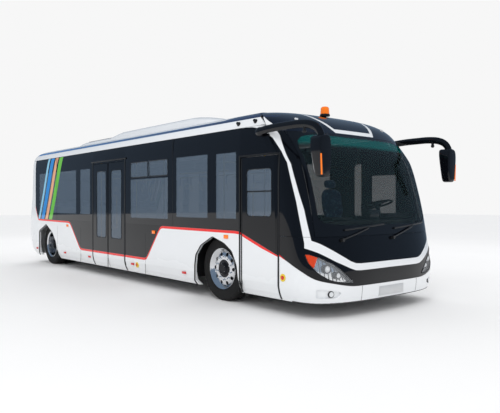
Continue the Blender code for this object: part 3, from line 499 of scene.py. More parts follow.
print("materials")
paints = {
    "side": sidePaint(), "front": frontPaint(), "dome": domePaint(), "rear": rearPaint(), "band": bandGlass(),
    "screen": screenGlass(), "lens": lensGlass(), "rubber": rubberPaint(),
    "white": plainPaint("white_gloss", tones["white"], 0.22, 0.0, 1.2, 0.03, 0.06, coatWeight=0.5,
                        coatRoughness=0.04),
    "black": plainPaint("black_gloss", (0.003, 0.0034, 0.005), 0.08, 0.0, 3.0, 0.2, 0.05, specularLevel=0.40),
    "trim": plainPaint("black_moulding", (0.008, 0.008, 0.009), 0.42, 0.0, 9.0, 0.2, 0.12, 0.0006),
    "seal": plainPaint("rubber_seal", (0.004, 0.004, 0.0045), 0.55, 0.0, 18.0, 0.2, 0.15, 0.0006),
    "steel": plainPaint("chassis_steel", (0.035, 0.035, 0.038), 0.55, 0.5, 7.0, 0.35, 0.2, 0.0012),
    "cast": plainPaint("cast_iron", (0.13, 0.13, 0.135), 0.55, 0.7, 12.0, 0.35, 0.2, 0.0015),
    "alloy": plainPaint("polished_alloy", (0.66, 0.67, 0.69), 0.13, 1.0, 14.0, 0.06, 0.12),
    "satin": plainPaint("satin_alloy", (0.50, 0.51, 0.53), 0.36, 1.0, 20.0, 0.10, 0.14),
    "hub": plainPaint("dark_hub", (0.030, 0.030, 0.033), 0.40, 0.7, 16.0, 0.3, 0.2, 0.0008),
    "chrome": plainPaint("lamp_chrome", (0.86, 0.87, 0.88), 0.06, 1.0, 20.0, 0.03, 0.04),
    "vinyl": plainPaint("floor_vinyl", (0.16, 0.17, 0.18), 0.62, 0.0, 60.0, 0.35, 0.15, 0.0008),
    "lining": plainPaint("light_lining", (0.52, 0.53, 0.54), 0.55, 0.0, 8.0, 0.06, 0.1, 0.0006),
    "yellow": plainPaint("rail_yellow", (0.80, 0.50, 0.03), 0.30, 0.0, 9.0, 0.08, 0.1, coatWeight=0.4),
    "blue": fabricPaint("seat_moquette", (0.018, 0.045, 0.13), (0.09, 0.20, 0.36)),
    "amber": lampPaint("amber_lens", (0.95, 0.20, 0.004), 0.25),
          "red": lampPaint("red_lens", (0.62, 0.012, 0.010), 0.1),
    "clear": lampPaint("clear_lens", (0.82, 0.84, 0.86)),
          "mirror": plainPaint("mirror_glass", (0.88, 0.90, 0.92), 0.03, 1.0, 4.0, 0.02, 0.02),
    "dark": plainPaint("dark_glass", (0.012, 0.013, 0.016), 0.06, 0.0, 2.0, 0.2, 0.04, coatWeight=0.4),
    "mark": plainPaint("button_yellow", (0.85, 0.62, 0.04), 0.35, 0.0, 9.0, 0.05, 0.1),
    "plate": plainPaint("blank_plate", (0.62, 0.63, 0.64), 0.35, 0.2, 9.0, 0.04, 0.1)}


def smoothed(mesh, angle=32):
    mesh.shade_smooth()
    mesh.set_sharp_from_angle(angle=radians(angle))
    return mesh


def finishPiece(name, bm, paint, body=mainBody, replaces=(), angle=32):
    bmesh.ops.recalc_face_normals(bm, faces=bm.faces)
    mesh = bpy.data.meshes.new(name)
    bm.to_mesh(mesh)
    bm.free()
    thing = bpy.data.objects.new(name, mesh)
    bpy.context.scene.collection.objects.link(thing)
    mesh.materials.append(paints[paint])
    smoothed(mesh, angle)
    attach(thing, body)
    if replaces:
        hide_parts(*replaces)
    madePieces.append(thing)
    return thing


def bake(thing):
    graph = bpy.context.evaluated_depsgraph_get()
    made = bpy.data.meshes.new_from_object(thing.evaluated_get(graph))
    thing.modifiers.clear()
    old = thing.data
    thing.data = made
    bpy.data.meshes.remove(old)
    smoothed(made)
    return thing


def carve(thing, bm, operation="DIFFERENCE"):
    bmesh.ops.recalc_face_normals(bm, faces=bm.faces)
    mesh = bpy.data.meshes.new("cutter")
    bm.to_mesh(mesh)
    bm.free()
    cutter = bpy.data.objects.new("cutter", mesh)
    bpy.context.scene.collection.objects.link(cutter)
    cut = thing.modifiers.new("cut", "BOOLEAN")
    cut.operation = operation
    cut.object = cutter
    bpy.context.view_layer.update()
    bake(thing)
    bpy.data.objects.remove(cutter)
    return thing


def softenEdges(bm, width, segments=2, angle=0.6):
    sharp = [edge for edge in bm.edges if len(edge.link_faces) == 2 and edge.calc_face_angle(0) > angle]
    bmesh.ops.bevel(bm, geom=sharp, offset=width, segments=segments, affect="EDGES", profile=0.5,
                    clamp_overlap=True)
    return bm


def block(low, high, bm=None):
    bm = bm or bmesh.new()
    low, high = Vector(low), Vector(high)
    size = high - low
    place = Matrix.Translation((low + high) / 2) @ Matrix.Diagonal((*size, 1))
    bmesh.ops.create_cube(bm, size=1, matrix=place)
    return bm


def spot(x, y, z):
    return Vector((x, axleY + y, z))


def prism(outline, start, depth, plane):
    order = {"yz": (1, 2, 0), "xz": (0, 2, 1), "xy": (0, 1, 2)}[plane]
    bm = bmesh.new()
    verts = []
    for u, v in outline:
        at = [0, 0, 0]
        at[order[0]], at[order[1]], at[order[2]] = u, v, start
        at[1] += axleY
        verts.append(bm.verts.new(at))
    face = bm.faces.new(verts)
    grown = bmesh.ops.extrude_face_region(bm, geom=[face], use_keep_orig=True)
    move = [0, 0, 0]
    move[order[2]] = depth
    bmesh.ops.translate(bm, vec=move, verts=[v for v in grown["geom"] if isinstance(v, bmesh.types.BMVert)])
    return bm


def roundedBox(u0, u1, v0, v1, radius=0.05, steps=6):
    points = []
    for cu, cv, quarter in ((u1 - radius, v1 - radius, 0), (u0 + radius, v1 - radius, 1),
                            (u0 + radius, v0 + radius, 2), (u1 - radius, v0 + radius, 3)):
        for k in range(steps + 1):
            angle = (quarter + k / steps) * pi / 2
            points.append((cu + radius * cos(angle), cv + radius * sin(angle)))
    return points


def turned(profile, middle, steps, side=1, bm=None):
    # solid or skin of revolution about a line along X; the profile lists offset and radius
    bm = bm or bmesh.new()
    rings = []
    for offset, radius in profile:
        x = middle[0] + side * offset
        if radius == 0:
            rings.append([bm.verts.new((x, middle[1], middle[2]))])
        else:
            rings.append([bm.verts.new((x, middle[1] + radius * cos(2 * pi * k / steps),
                                        middle[2] + radius * sin(2 * pi * k / steps))) for k in range(steps)])
    pairs = list(zip(rings, rings[1:]))
    if profile[0][1] and profile[-1][1]:
        pairs.append((rings[-1], rings[0]))
    for first, second in pairs:
        for k in range(steps):
            quad = [first[k % len(first)], first[(k + 1) % len(first)], second[(k + 1) % len(second)],
                    second[k % len(second)]]
            corners = list(dict.fromkeys(quad))
            if len(corners) > 2:
                bm.faces.new(corners)
    return bm


def upright(bm, middle):
    bmesh.ops.rotate(bm, cent=(0, 0, 0), matrix=Matrix.Rotation(-pi / 2, 3, "Y"), verts=bm.verts)
    bmesh.ops.translate(bm, vec=middle, verts=bm.verts)
    return bm


def rod(start, end, radius, sides=12, bm=None, endRadius=None):
    bm = bm or bmesh.new()
    line = Vector(end) - Vector(start)
    turn = line.to_track_quat("Z", "Y").to_matrix().to_4x4()
    place = Matrix.Translation((Vector(start) + Vector(end)) / 2) @ turn
    bmesh.ops.create_cone(bm, cap_ends=True, segments=sides, radius1=radius,
                          radius2=radius if endRadius is None else endRadius, depth=line.length, matrix=place)
    return bm


def tube(path, halfWide, halfHigh, sides=14, wide=(1, 0, 0), bm=None):
    bm = bm or bmesh.new()
    rings = []
    for k, point in enumerate(path):
        forward = (Vector(path[min(k + 1, len(path) - 1)]) - Vector(path[max(k - 1, 0)])).normalized()
        first = (Vector(wide) - forward * forward.dot(Vector(wide))).normalized()
        second = forward.cross(first).normalized()
        rings.append([bm.verts.new(Vector(point) + halfWide * cos(2 * pi * s / sides) * first
                                   + halfHigh * sin(2 * pi * s / sides) * second) for s in range(sides)])
    for one, two in zip(rings, rings[1:]):
        for s in range(sides):
            bm.faces.new((one[s], one[(s + 1) % sides], two[(s + 1) % sides], two[s]))
    bm.faces.new(rings[0])
    bm.faces.new(rings[-1])
    return bm


def shell(outer, inner, capped=False):
    bm = bmesh.new()
    rows, columns = len(outer), len(outer[0])
    sheets = [[[bm.verts.new(p) for p in row] for row in sheet] for sheet in (outer, inner)]
    for sheet in sheets:
        for r in range(rows - 1):
            for c in range(columns - 1):
                bm.faces.new((sheet[r][c], sheet[r][c + 1], sheet[r + 1][c + 1], sheet[r + 1][c]))
        if capped:
            top = sheet[-1]
            for c in range(columns // 2):
                corners = list(dict.fromkeys([top[c], top[c + 1], top[columns - 2 - c],
                                              top[columns - 1 - c]]))
                if len(corners) > 2:
                    bm.faces.new(corners)
    first, second = sheets
    rim = [(0, c, 0, c + 1) for c in range(columns - 1)]
    rim += [(r, 0, r + 1, 0) for r in range(rows - 1)]
    rim += [(r, columns - 1, r + 1, columns - 1) for r in range(rows - 1)]
    if capped:
        rim.append((rows - 1, 0, rows - 1, columns - 1))
    else:
        rim += [(rows - 1, c, rows - 1, c + 1) for c in range(columns - 1)]
    for r0, c0, r1, c1 in rim:
        bm.faces.new((first[r0][c0], first[r1][c1], second[r1][c1], second[r0][c0]))
    return bm


def levelsOf(count, crowned=False):
    if crowned:
        return [sin(k / count * pi / 2) for k in range(count + 1)]
    return [k / count for k in range(count + 1)]


def patch(aFrom, aTo, zFrom, zTo, columns, levels, thick, tail=False, capped=False, lift=0.0):
    outer, inner = [], []
    for level in levels:
        outerRow, innerRow = [], []
        for c in range(columns + 1):
            share = c / columns
            z = (zFrom(0) + zTo(0)) / 2
            for settle in range(6):
                a = aFrom(z) + share * (aTo(z) - aFrom(z))
                z = zFrom(a) + level * (zTo(a) - zFrom(a))
            normal = endNormal(a, z, tail)
            outerRow.append(endPoint(a, z, tail) + normal * lift)
            if share in (0, 1) and abs(a) > 0.8:
                normal = Vector((1 if a > 0 else -1, 0, 0))
            elif level == 0 or (level == 1 and not capped):
                normal = Vector((normal.x, normal.y, 0)).normalized()
            innerRow.append(endPoint(a, z, tail) - normal * thick)
        outer.append(outerRow)
        inner.append(innerRow)
    return shell(outer, inner, capped)


# ---- moulded ends and roof
ends = {"seam": 0.004, "panel": 0.040, "domeGap": 0.006, "columns": 72}


def makeFront():
    seam, panel = ends["seam"], ends["panel"]
    right = lambda z: -shareAtY(cornerY, z)
    left = lambda z: shareAtY(cornerY, z)
    bumper = patch(right, left, lambda a: bodyHeights[0], bumperEdge, ends["columns"], levelsOf(10), panel)
    bumper = finishPiece("bumper_skin", bumper, "white", replaces=["front_bumper"])
    face = patch(right, left, lambda a: bumperEdge(a) + seam, lambda a: screenLow - seam, ends["columns"],
                 levelsOf(12), panel)
    face = finishPiece("front_panel_skin", face, "front", replaces=["front_panel"])
    for side, word in bothSides:
        inner = lambda z, side=side: side * shareAtX(screenHalf + seam, z)
        lean = lambda z: max(0.0, z - 2.026) / (screenTop - 2.026)
        outer = lambda z, side=side: side * shareAtY(cornerY + (domeJoint(screenTop) - cornerY) * lean(z), z)
        pillar = patch(inner, outer, lambda a: screenLow, lambda a: screenTop - seam, 10, levelsOf(26), panel)
        finishPiece("pillar_skin_" + word, pillar, "front", replaces=["windscreen_pillar_" + word])
    screen = patch(lambda z: -shareAtX(screenHalf, z), lambda z: shareAtX(screenHalf, z), lambda a: screenLow,
                   lambda a: screenTop - seam, 48, levelsOf(26), 0.010)
    finishPiece("windscreen_skin", screen, "screen", replaces=["windscreen"])
    dome = patch(lambda z: -shareAtY(domeJoint(z) - seam, z), lambda z: shareAtY(domeJoint(z) - seam, z),
                 lambda a: screenTop, lambda a: crownZ, ends["columns"], levelsOf(18, True), panel,
                 capped=True)
    finishPiece("dome_skin", dome, "dome", replaces=["front_dome"])
    return bumper, face


def makeRoof():
    outer, inner = [], []
    bends, sides = 44, 6
    for level in levelsOf(16, True):
        z = cantZ + level * (crownZ - cantZ)
        start = shareAtY(domeJoint(z) + ends["domeGap"], z, True)
        places = [-start + (start - 1) * k / sides for k in range(sides)]
        places += [-1 + 2 * k / bends for k in range(bends + 1)]
        places += [1 + (start - 1) * (k + 1) / sides for k in range(sides)]
        outer.append([endPoint(a, z, True) for a in places])
        row = []
        for a in places:
            normal = endNormal(a, z, True)
            if level == 0:
                normal = Vector((normal.x, normal.y, 0)).normalized()
            row.append(endPoint(a, z, True) - normal * ends["panel"])
        inner.append(row)
    finishPiece("roof_skin", shell(outer, inner, True), "side", replaces=["roof_panel"])


rear = {"lid": (0.80, 0.50, 1.35), "window": (0.95, 1.55, 2.20)}


def makeRear():
    seam = ends["seam"]
    wall = patch(lambda z: -shareAtY(tailJoint + seam, z, True),
                 lambda z: shareAtY(tailJoint + seam, z, True), lambda a: bodyHeights[0],
                 lambda a: cantZ - seam, 56, levelsOf(30), ends["panel"], True)
    wall = finishPiece("rear_wall_skin", wall, "rear", replaces=["rear_wall"])
    for half, low, high in (rear["lid"], rear["window"]):
        hole = prism(roundedBox(-half, half, low, high, 0.03 if low < 1 else 0.05), 7.25, 0.65, "xz")
        carve(wall, hole)
    half, low, high = rear["lid"]
    half -= 0.006
    lid = patch(lambda z: -shareAtX(half, z, True), lambda z: shareAtX(half, z, True), lambda a: low + 0.012,
                lambda a: high - 0.006, 30, levelsOf(20), 0.035, True)
    lid = finishPiece("engine_lid_skin", lid, "rear", "engine_lid", replaces=["engine_lid"])
    carve(lid, prism(roundedBox(-half, half, low + 0.012, high - 0.006, 0.028), 7.25, 0.65, "xz"),
          "INTERSECT")
    for k in range(9):
        z = 0.62 + 0.042 * k
        slot = prism(roundedBox(-0.62, 0.62, z, z + 0.022, 0.010, 3), 7.690, 0.2, "xz")
        carve(lid, slot)
    half, low, high = rear["window"]
    half -= 0.003
    pane = patch(lambda z: -shareAtX(half, z, True), lambda z: shareAtX(half, z, True), lambda a: low + 0.003,
                 lambda a: high - 0.003, 24, levelsOf(12), 0.006, True)
    pane = finishPiece("rear_window_skin", pane, "dark", replaces=["rear_window"])
    carve(pane, prism(roundedBox(-half, half, low + 0.003, high - 0.003, 0.048), 7.25, 0.65, "xz"),
          "INTERSECT")
    # lamp clusters and plate
    for side, word in bothSides:
        rows = (("tail_lamp_red_", 0.98, 1.30, "red"), ("tail_lamp_amber_", 0.83, 0.965, "amber"),
                ("tail_lamp_clear_", 0.70, 0.815, "clear"))
        for name, z0, z1, paint in rows:
            edge = [side * 0.50, side * 0.66]
            lamp = patch(lambda z: edge[0], lambda z: edge[1], lambda a: z0, lambda a: z1, 12, levelsOf(8),
                         0.010, True, lift=0.012)
            softenEdges(lamp, 0.004, 2, 0.9)
            finishPiece(name + word, lamp, paint)
    plateY = section(0.42)[2] - 0.002
    finishPiece("rear_plate", softenEdges(block(spot(-0.26, plateY, 0.385),
                                                spot(0.26, plateY + 0.006, 0.455)), 0.002), "plate")


headlamp = {"outline": [(1.300, 0.795), (1.262, 0.790), (1.165, 0.748), (0.990, 0.655), (0.860, 0.550),
                        (0.715, 0.430), (0.868, 0.432), (1.071, 0.476), (1.201, 0.560), (1.279, 0.676)],
            "projectors": [(1.105, 0.615, 0.052), (0.955, 0.530, 0.043)]}


def softOutline(points, cuts=5, pull=0.30):
    # closed outline with its corners rounded off
    found = []
    count = len(points)
    for k in range(count):
        before, here, after = Vector(points[k - 1]), Vector(points[k]), Vector(points[(k + 1) % count])
        start, finish = here.lerp(before, pull), here.lerp(after, pull)
        for i in range(cuts + 1):
            t = i / cuts
            found.append(tuple(start * (1 - t) ** 2 + here * 2 * t * (1 - t) + finish * t * t))
    return found


def makeHeadlamps(face):
    outline = softOutline(headlamp["outline"])
    middle = Vector((sum(p[0] for p in outline), sum(p[1] for p in outline))) / len(outline)
    for side, word in bothSides:
        carve(face, prism([(side * x, z) for x, z in outline], -2.3, 1.0, "xz"))
        inset = [Vector(p) + (middle - Vector(p)).normalized() * 0.0025 for p in outline]
        inset = [(side * x, z) for x, z in inset]
        edges = sorted((side * 0.28, side * 0.93))
        cover = patch(lambda z: edges[0], lambda z: edges[1], lambda a: 0.40, lambda a: 0.82, 60,
                      levelsOf(24), 0.004)
        cover = finishPiece("headlight_lens_" + word, cover, "lens", replaces=["headlight_" + word])
        carve(cover, prism(inset, -2.3, 1.0, "xz"), "INTERSECT")
        bowl = patch(lambda z: edges[0], lambda z: edges[1], lambda a: 0.40, lambda a: 0.82, 60, levelsOf(24),
                     0.085, lift=-0.070)
        bowl = finishPiece("headlight_bowl_" + word, bowl, "chrome")
        carve(bowl, prism(inset, -2.3, 1.0, "xz"), "INTERSECT")
        fins = bmesh.new()
        for k in range(9):
            x = 1.235 - 0.052 * k
            top = noseAt(side * x, 0.80 - 0.040 * k, -0.066)
            foot = noseAt(side * (x - 0.03), 0.46, -0.066)
            tube([top, foot], 0.0035, 0.006, 6, (1, 0, 0), fins)
        fins = finishPiece("headlight_fins_" + word, fins, "hub")
        carve(fins, prism(inset, -2.3, 1.0, "xz"), "INTERSECT")
        lamps = bmesh.new()
        bulbs = bmesh.new()
        for x, z, radius in headlamp["projectors"]:
            base = noseAt(side * x, z, -0.075)
            tip = base + Vector((0, -0.050, 0))
            rod(base, tip, radius, 28, lamps, radius * 1.12)
            bmesh.ops.create_uvsphere(bulbs, u_segments=24, v_segments=14, radius=radius * 0.86,
                                      matrix=Matrix.Translation(tip + Vector((0, 0.016, 0))))
        finishPiece("headlight_projectors_" + word, lamps, "hub")
        finishPiece("headlight_bulbs_" + word, bulbs, "clear")
        rim = bmesh.new()
        route = [noseAt(side * x, z, 0.001) for x, z in outline]
        route.append(route[0])
        tube(route, 0.005, 0.005, 6, (0, 1, 0), rim)
        finishPiece("headlight_seal_" + word, rim, "seal")


bumper = {"plate": (-0.25, 0.25, 0.235, 0.335), "fog": (1.050, 0.303, 0.033),
          "recess": [(1.215, 0.262), (1.225, 0.385), (0.905, 0.325), (0.975, 0.258)]}


def makeBumperGear(skin):
    for side, word in bothSides:
        x, z, radius = bumper["fog"]
        recess = [(side * u, v) for u, v in softOutline(bumper["recess"], 5, 0.25)]
        carve(skin, prism(recess, -2.3, 1.2, "xz"))
        edges = sorted((side * 0.36, side * 0.86))
        back = patch(lambda z: edges[0], lambda z: edges[1], lambda a: 0.22, lambda a: 0.42, 40, levelsOf(14),
                     0.036, lift=-0.022)
        back = finishPiece("fog_recess_" + word, back, "white")
        carve(back, prism(recess, -2.3, 1.2, "xz"), "INTERSECT")
        place = noseAt(side * x, z, -0.020)
        out = endNormal(shareAtX(side * x, z), z)
        out = Vector((out.x * 0.6, out.y, 0)).normalized()
        finishPiece("fog_bezel_" + word, softenEdges(rod(place - out * 0.01, place + out * 0.016,
                                                         radius + 0.007, 32), 0.003), "trim")
        glass = bmesh.new()
        turnOut = out.to_track_quat("Z", "Y").to_matrix().to_4x4()
        bmesh.ops.create_uvsphere(glass, u_segments=28, v_segments=14, radius=1, matrix=Matrix.Translation(
            place + out * 0.014) @ turnOut @ Matrix.Diagonal((radius, radius, 0.012, 1)))
        finishPiece("fog_lens_" + word, glass, "clear")
        # split line of the middle panel
        line = [noseAt(side * 0.585, 0.195 + 0.187 * k / 8, 0.0004) for k in range(9)]
        finishPiece("bumper_seam_" + word, tube(line, 0.0025, 0.0020, 6), "seal")
    x0, x1, z0, z1 = bumper["plate"]
    front = noseAt(0, 0.29).y
    holder = softenEdges(block((x0 - 0.012, front - 0.006, z0 - 0.012),
                               (x1 + 0.012, front + 0.02, z1 + 0.012)), 0.004)
    finishPiece("front_plate_holder", holder, "plate")
    plate = softenEdges(block((x0, front - 0.009, z0), (x1, front - 0.004, z1)), 0.002)
    finishPiece("front_plate", plate, "plate")
    lip = bmesh.new()
    route = [endPoint(a / 20, bodyHeights[0] + 0.004) + Vector((0, 0.010, 0)) for a in range(-19, 20)]
    tube(route, 0.012, 0.010, 8, (0, 1, 0), lip)
    finishPiece("bumper_lip", lip, "trim")


wipers = {"pivots": [(-0.86, 0.958), (0.10, 0.958)], "tips": [(-0.13, 1.135), (0.86, 1.135)]}


def makeWipers():
    for k, (pivot, tip) in enumerate(zip(wipers["pivots"], wipers["tips"])):
        name = "wiper_" + ("right", "left")[k]
        bm = bmesh.new()
        base = noseAt(*pivot, 0.000)
        rod(base, base + Vector((0, -0.040, 0)), 0.022, 18, bm)
        arm = [noseAt(pivot[0] + (tip[0] - pivot[0]) * 0.62 * t / 10,
                      pivot[1] + (1.16 - pivot[1]) * 0.62 * t / 10, 0.030) for t in range(11)]
        tube(arm, 0.010, 0.006, 8, (0, 0, 1), bm)
        blade = [noseAt(pivot[0] + 0.06 + (tip[0] - pivot[0] + 0.02) * t / 20, 1.075 + 0.06 * t / 20, 0.016)
                 for t in range(21)]
        tube(blade, 0.012, 0.008, 8, (0, 0, 1), bm)
        link = [arm[-1], blade[12]]
        tube(link, 0.008, 0.006, 8, (0, 0, 1), bm)
        finishPiece(name, bm, "trim")


# ---- doors and side trim
doorTrim = {"leaves": ["front_door", "mid_door_front_leaf", "mid_door_rear_leaf"],
            "jambs": [("front_door_jamb_rear", -0.573, -0.545, 0.200, 2.052),
                      ("front_door_jamb_front", -1.342, -1.318, 0.200, 2.052),
                      ("front_door_header", -1.342, -0.545, 2.030, 2.052),
                      ("mid_door_jamb_front", 2.694, 2.732, 0.200, 2.205),
                      ("mid_door_jamb_rear", 4.028, 4.056, 0.200, 2.205)]}


def makeDoorTrim():
    for node in doorTrim["leaves"]:
        low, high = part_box(node)
        freeAtRear = node != "mid_door_rear_leaf"
        edge = high.y if freeAtRear else low.y
        inward = -1 if freeAtRear else 1
        wide = 0.022 if node == "front_door" else 0.006
        seal = block((-halfWidth + 0.004, min(edge, edge + inward * wide), low.z + 0.01),
                     (-halfWidth - 0.002, max(edge, edge + inward * wide), high.z - 0.01))
        finishPiece(node + "_seal", softenEdges(seal, 0.002), "seal", node)
        inside = bmesh.new()
        grip = [Vector((-halfWidth + 0.125, edge + inward * 0.10, z)) for z in (0.95, 1.05, 1.25, 1.45, 1.55)]
        grip = [grip[0] + Vector((-0.075, 0, 0))] + grip + [grip[-1] + Vector((-0.075, 0, 0))]
        tube(grip, 0.014, 0.014, 12, (0, 1, 0), inside)
        finishPiece(node + "_grip", inside, "yellow", node)
        # thin frame round the pane
        glassLow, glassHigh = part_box(node + "_glass")
        frameLine = roundedBox(glassLow.y - 0.006, glassHigh.y + 0.006, glassLow.z - 0.006,
                               glassHigh.z + 0.006, 0.052)
        route = [Vector((-halfWidth, y, z)) for y, z in frameLine]
        route.append(route[0])
        finishPiece(node + "_pane_seal", tube(route, 0.006, 0.004, 6), "seal", node)
        if node == "front_door":
            bar = block((-halfWidth - 0.001, glassLow.y, 1.555), (-halfWidth + 0.012, glassHigh.y, 1.573))
            finishPiece("front_door_pane_bar", bar, "seal", node)
    for name, y0, y1, z0, z1 in doorTrim["jambs"]:
        strip = patch(lambda z: -shareAtY(y1, z), lambda z: -shareAtY(y0, z), lambda a: z0, lambda a: z1, 6,
                      levelsOf(40), 0.004, lift=0.0035)
        finishPiece(name, strip, "seal")
    # rail over the middle doorway
    rail = block(spot(-halfWidth - 0.016, 2.66, 2.205), spot(-halfWidth + 0.004, 4.10, 2.232))
    finishPiece("mid_door_header", softenEdges(rail, 0.006, 3), "trim")


sideSeams = {-1: (1.120, 5.90), 1: (1.120, 2.66, 4.10, 5.90)}     # joints of the bonded glass
slidingPanes = [(1.267, 1.850, 1.860, 2.120), (1.905, 2.488, 1.860, 2.120)]


def makeSideTrim():
    seams = bmesh.new()
    for side in (1, -1):
        for y in sideSeams[side]:
            block(spot(side * (halfWidth - 0.003), y - 0.0035, 1.05),
                  spot(side * (halfWidth + 0.0008), y + 0.0035, 2.42), seams)
    finishPiece("glass_seams", seams, "seal")
    for side, word in bothSides:
        frames = bmesh.new()
        for y0, y1, z0, z1 in slidingPanes:
            route = [Vector((side * (halfWidth + 0.001), axleY + y, z)) for y,
                     z in roundedBox(y0, y1, z0, z1, 0.03, 4)]
            route.append(route[0])
            tube(route, 0.004, 0.007, 6, (1, 0, 0), frames)
        finishPiece("sliding_pane_frames_" + word, frames, "trim")
        joints = bmesh.new()
        for y in (1.98, 4.62, 5.86) if side < 0 else (1.98, 3.40, 4.62, 5.86):
            block(spot(side * (halfWidth - 0.004), y - 0.002, 0.20),
                  spot(side * (halfWidth + 0.0006), y + 0.002, 0.90), joints)
        finishPiece("skirt_joints_" + word, joints, "seal")
        lamps = bmesh.new()
        for y, z in ((-0.26, 0.94), (2.30 if side > 0 else 1.70, 0.93), (5.30, 0.93)):
            block(spot(side * (halfWidth - 0.002), y - 0.045, z - 0.026),
                  spot(side * (halfWidth + 0.014), y + 0.045, z + 0.026), lamps)
        finishPiece("side_markers_" + word, softenEdges(lamps, 0.004, 2), "amber")
        reflectors = bmesh.new()
        for y in (0.80, 2.43, 4.21, 5.45, 7.12):
            block(spot(side * (halfWidth - 0.010), y - 0.048, 0.322),
                  spot(side * (halfWidth + 0.008), y + 0.048, 0.358), reflectors)
        finishPiece("side_reflectors_" + word, softenEdges(reflectors, 0.002, 2), "red")
        arches = bmesh.new()
        for rows, y0 in ((frontArch, 0.0), (rearArch, wheelBase)):
            route = [Vector((side * (halfWidth - 0.008), axleY + y0 + y, z)) for y, z in softOpen(rows)]
            tube(route, 0.011, 0.006, 8, (1, 0, 0), arches)
        finishPiece("arch_edges_" + word, arches, "trim")
        for k, y in enumerate((-0.85, -0.50)):
            eye = bmesh.new()
            a = shareAtY(y, 2.49)
            base = endPoint(side * a, 2.49)
            out = endNormal(side * a, 2.49)
            rod(base - out * 0.01, base + out * 0.012, 0.030, 24, eye)
            rod(base + out * 0.010, base + out * 0.040, 0.024, 24, eye, 0.018)
            finishPiece("side_camera_" + word + "_" + str(k + 1), softenEdges(eye, 0.003), "trim")
    for k, (y, z) in enumerate(((2.27, 0.338), (-1.41, 0.483))):
        base = endPoint(-shareAtY(y, z), z)
        out = Vector((-1, 0, 0)) if y > -1.4 else endNormal(-shareAtY(y, z), z)
        ring = softenEdges(rod(base - out * 0.01, base + out * 0.008, 0.048, 36), 0.003)
        finishPiece("door_button_ring_" + str(k + 1), ring, "mark")
        knob = softenEdges(rod(base, base + out * 0.015, 0.026, 28), 0.004)
        finishPiece("door_button_" + str(k + 1), knob, "red")


frontArch = [(0.44, 0.195), (0.52, 0.25), (0.52, 0.48), (0.49, 0.64), (0.36, 0.79), (0.07, 0.93),
             (-0.21, 0.85), (-0.385, 0.745), (-0.49, 0.56), (-0.525, 0.34), (-0.54, 0.195)]
rearArch = [(0.41, 0.195), (0.47, 0.25), (0.47, 0.76), (0.02, 0.93), (-0.36, 0.745), (-0.55, 0.56),
            (-0.69, 0.24), (-0.72, 0.195)]


def softOpen(rows, cuts=4, pull=0.12):
    points = [Vector(row) for row in rows]
    found = [points[0]]
    for before, here, after in zip(points, points[1:], points[2:]):
        start, finish = here.lerp(before, pull), here.lerp(after, pull)
        for i in range(cuts + 1):
            t = i / cuts
            found.append(start * (1 - t) ** 2 + here * 2 * t * (1 - t) + finish * t * t)
    return found + [points[-1]]


# ---- wheels
wheel = {"rim": 0.2985, "nuts": 10, "nutRing": 0.1675, "handRing": 0.2125, "hand": 0.0265, "steps": 120,
         "frontX": 1.1025, "twinX": 0.9475, "twinHalf": 0.155, "tyreHalf": 0.1275, "lug": (0.088, 0.116),
         "lugs": 60, "lugDepth": 0.0135}


def tyreShape(middle):
    half, r = wheel["tyreHalf"], tyreRadius
    grooves = []
    for centre in (-0.058, -0.020, 0.020, 0.058):
        grooves += [(centre - 0.0055, r), (centre - 0.0035, r - 0.013), (centre + 0.0035, r - 0.013),
                    (centre + 0.0055, r)]
    side = [(0.094, 0.2700), (0.1010, 0.2860), (0.1060, 0.3020), (0.1170, 0.3140), (0.1230, 0.3260),
            (0.1215, 0.3290), (0.1255, 0.3450), (half, 0.3750), (0.1265, 0.4050), (0.1235, 0.4200),
            (0.1245, 0.4260), (0.1190, 0.4420), (0.1080, 0.4560), (0.0920, r - 0.003), (0.0840, r)]
    outline = side + [(-x, rr) for x, rr in grooves] + [(-x, rr) for x, rr in reversed(side)]
    return [(middle + x, rr) for x, rr in outline]


def sipedTyre(name, middles, centre, side, node, body):
    bm = bmesh.new()
    for middle in middles:
        turned(tyreShape(middle), centre, wheel["steps"], side, bm)
    lugs = bmesh.new()
    x0, x1 = wheel["lug"]
    across = Vector((1, 0, 0))
    for middle in middles:
        for k in range(wheel["lugs"]):
            angle = 2 * pi * k / wheel["lugs"]
            out = Vector((0, cos(angle), sin(angle)))
            along = Vector((0, -sin(angle), cos(angle)))
            place = Matrix((across, along, out)).transposed().to_4x4()
            for edge in (1, -1):
                base = Vector(centre) + across * side * (middle + edge * (x0 + x1) / 2)
                base = base + out * (tyreRadius - wheel["lugDepth"])
                lean = Matrix.Rotation(-0.50 * edge * side, 4, along)
                size = Matrix.Diagonal((x1 - x0, 0.030, 0.012, 1))
                bmesh.ops.create_cube(lugs, size=1, matrix=Matrix.Translation(base) @ lean @ place @ size)
    tyre = finishPiece(name, bm, "rubber", body, [node], 40)
    finishPiece(name + "_shoulder_lugs", lugs, "rubber", body, (), 25)
    return tyre


def nutCircle(bm, x, centre, side, ring, radius, length, count):
    for k in range(count):
        angle = 2 * pi * (k + 0.5) / count
        base = Vector((x, centre[1] + ring * cos(angle), centre[2] + ring * sin(angle)))
        rod(base, base + Vector((side * length, 0, 0)), radius, 6, bm)
        rod(base, base + Vector((side * length * 1.6, 0, 0)), radius * 0.55, 12, bm)
        rod(base, base + Vector((side * length * 0.25, 0, 0)), radius * 1.35, 16, bm)
    return bm


def handHoles(made, x, centre, side):
    holes = bmesh.new()
    for k in range(wheel["nuts"]):
        angle = 2 * pi * k / wheel["nuts"]
        base = Vector((side * x, centre[1] + wheel["handRing"] * cos(angle),
                       centre[2] + wheel["handRing"] * sin(angle)))
        rod(base, base + Vector((side * 0.12, 0, 0)), wheel["hand"], 24, holes)
    carve(made, holes)


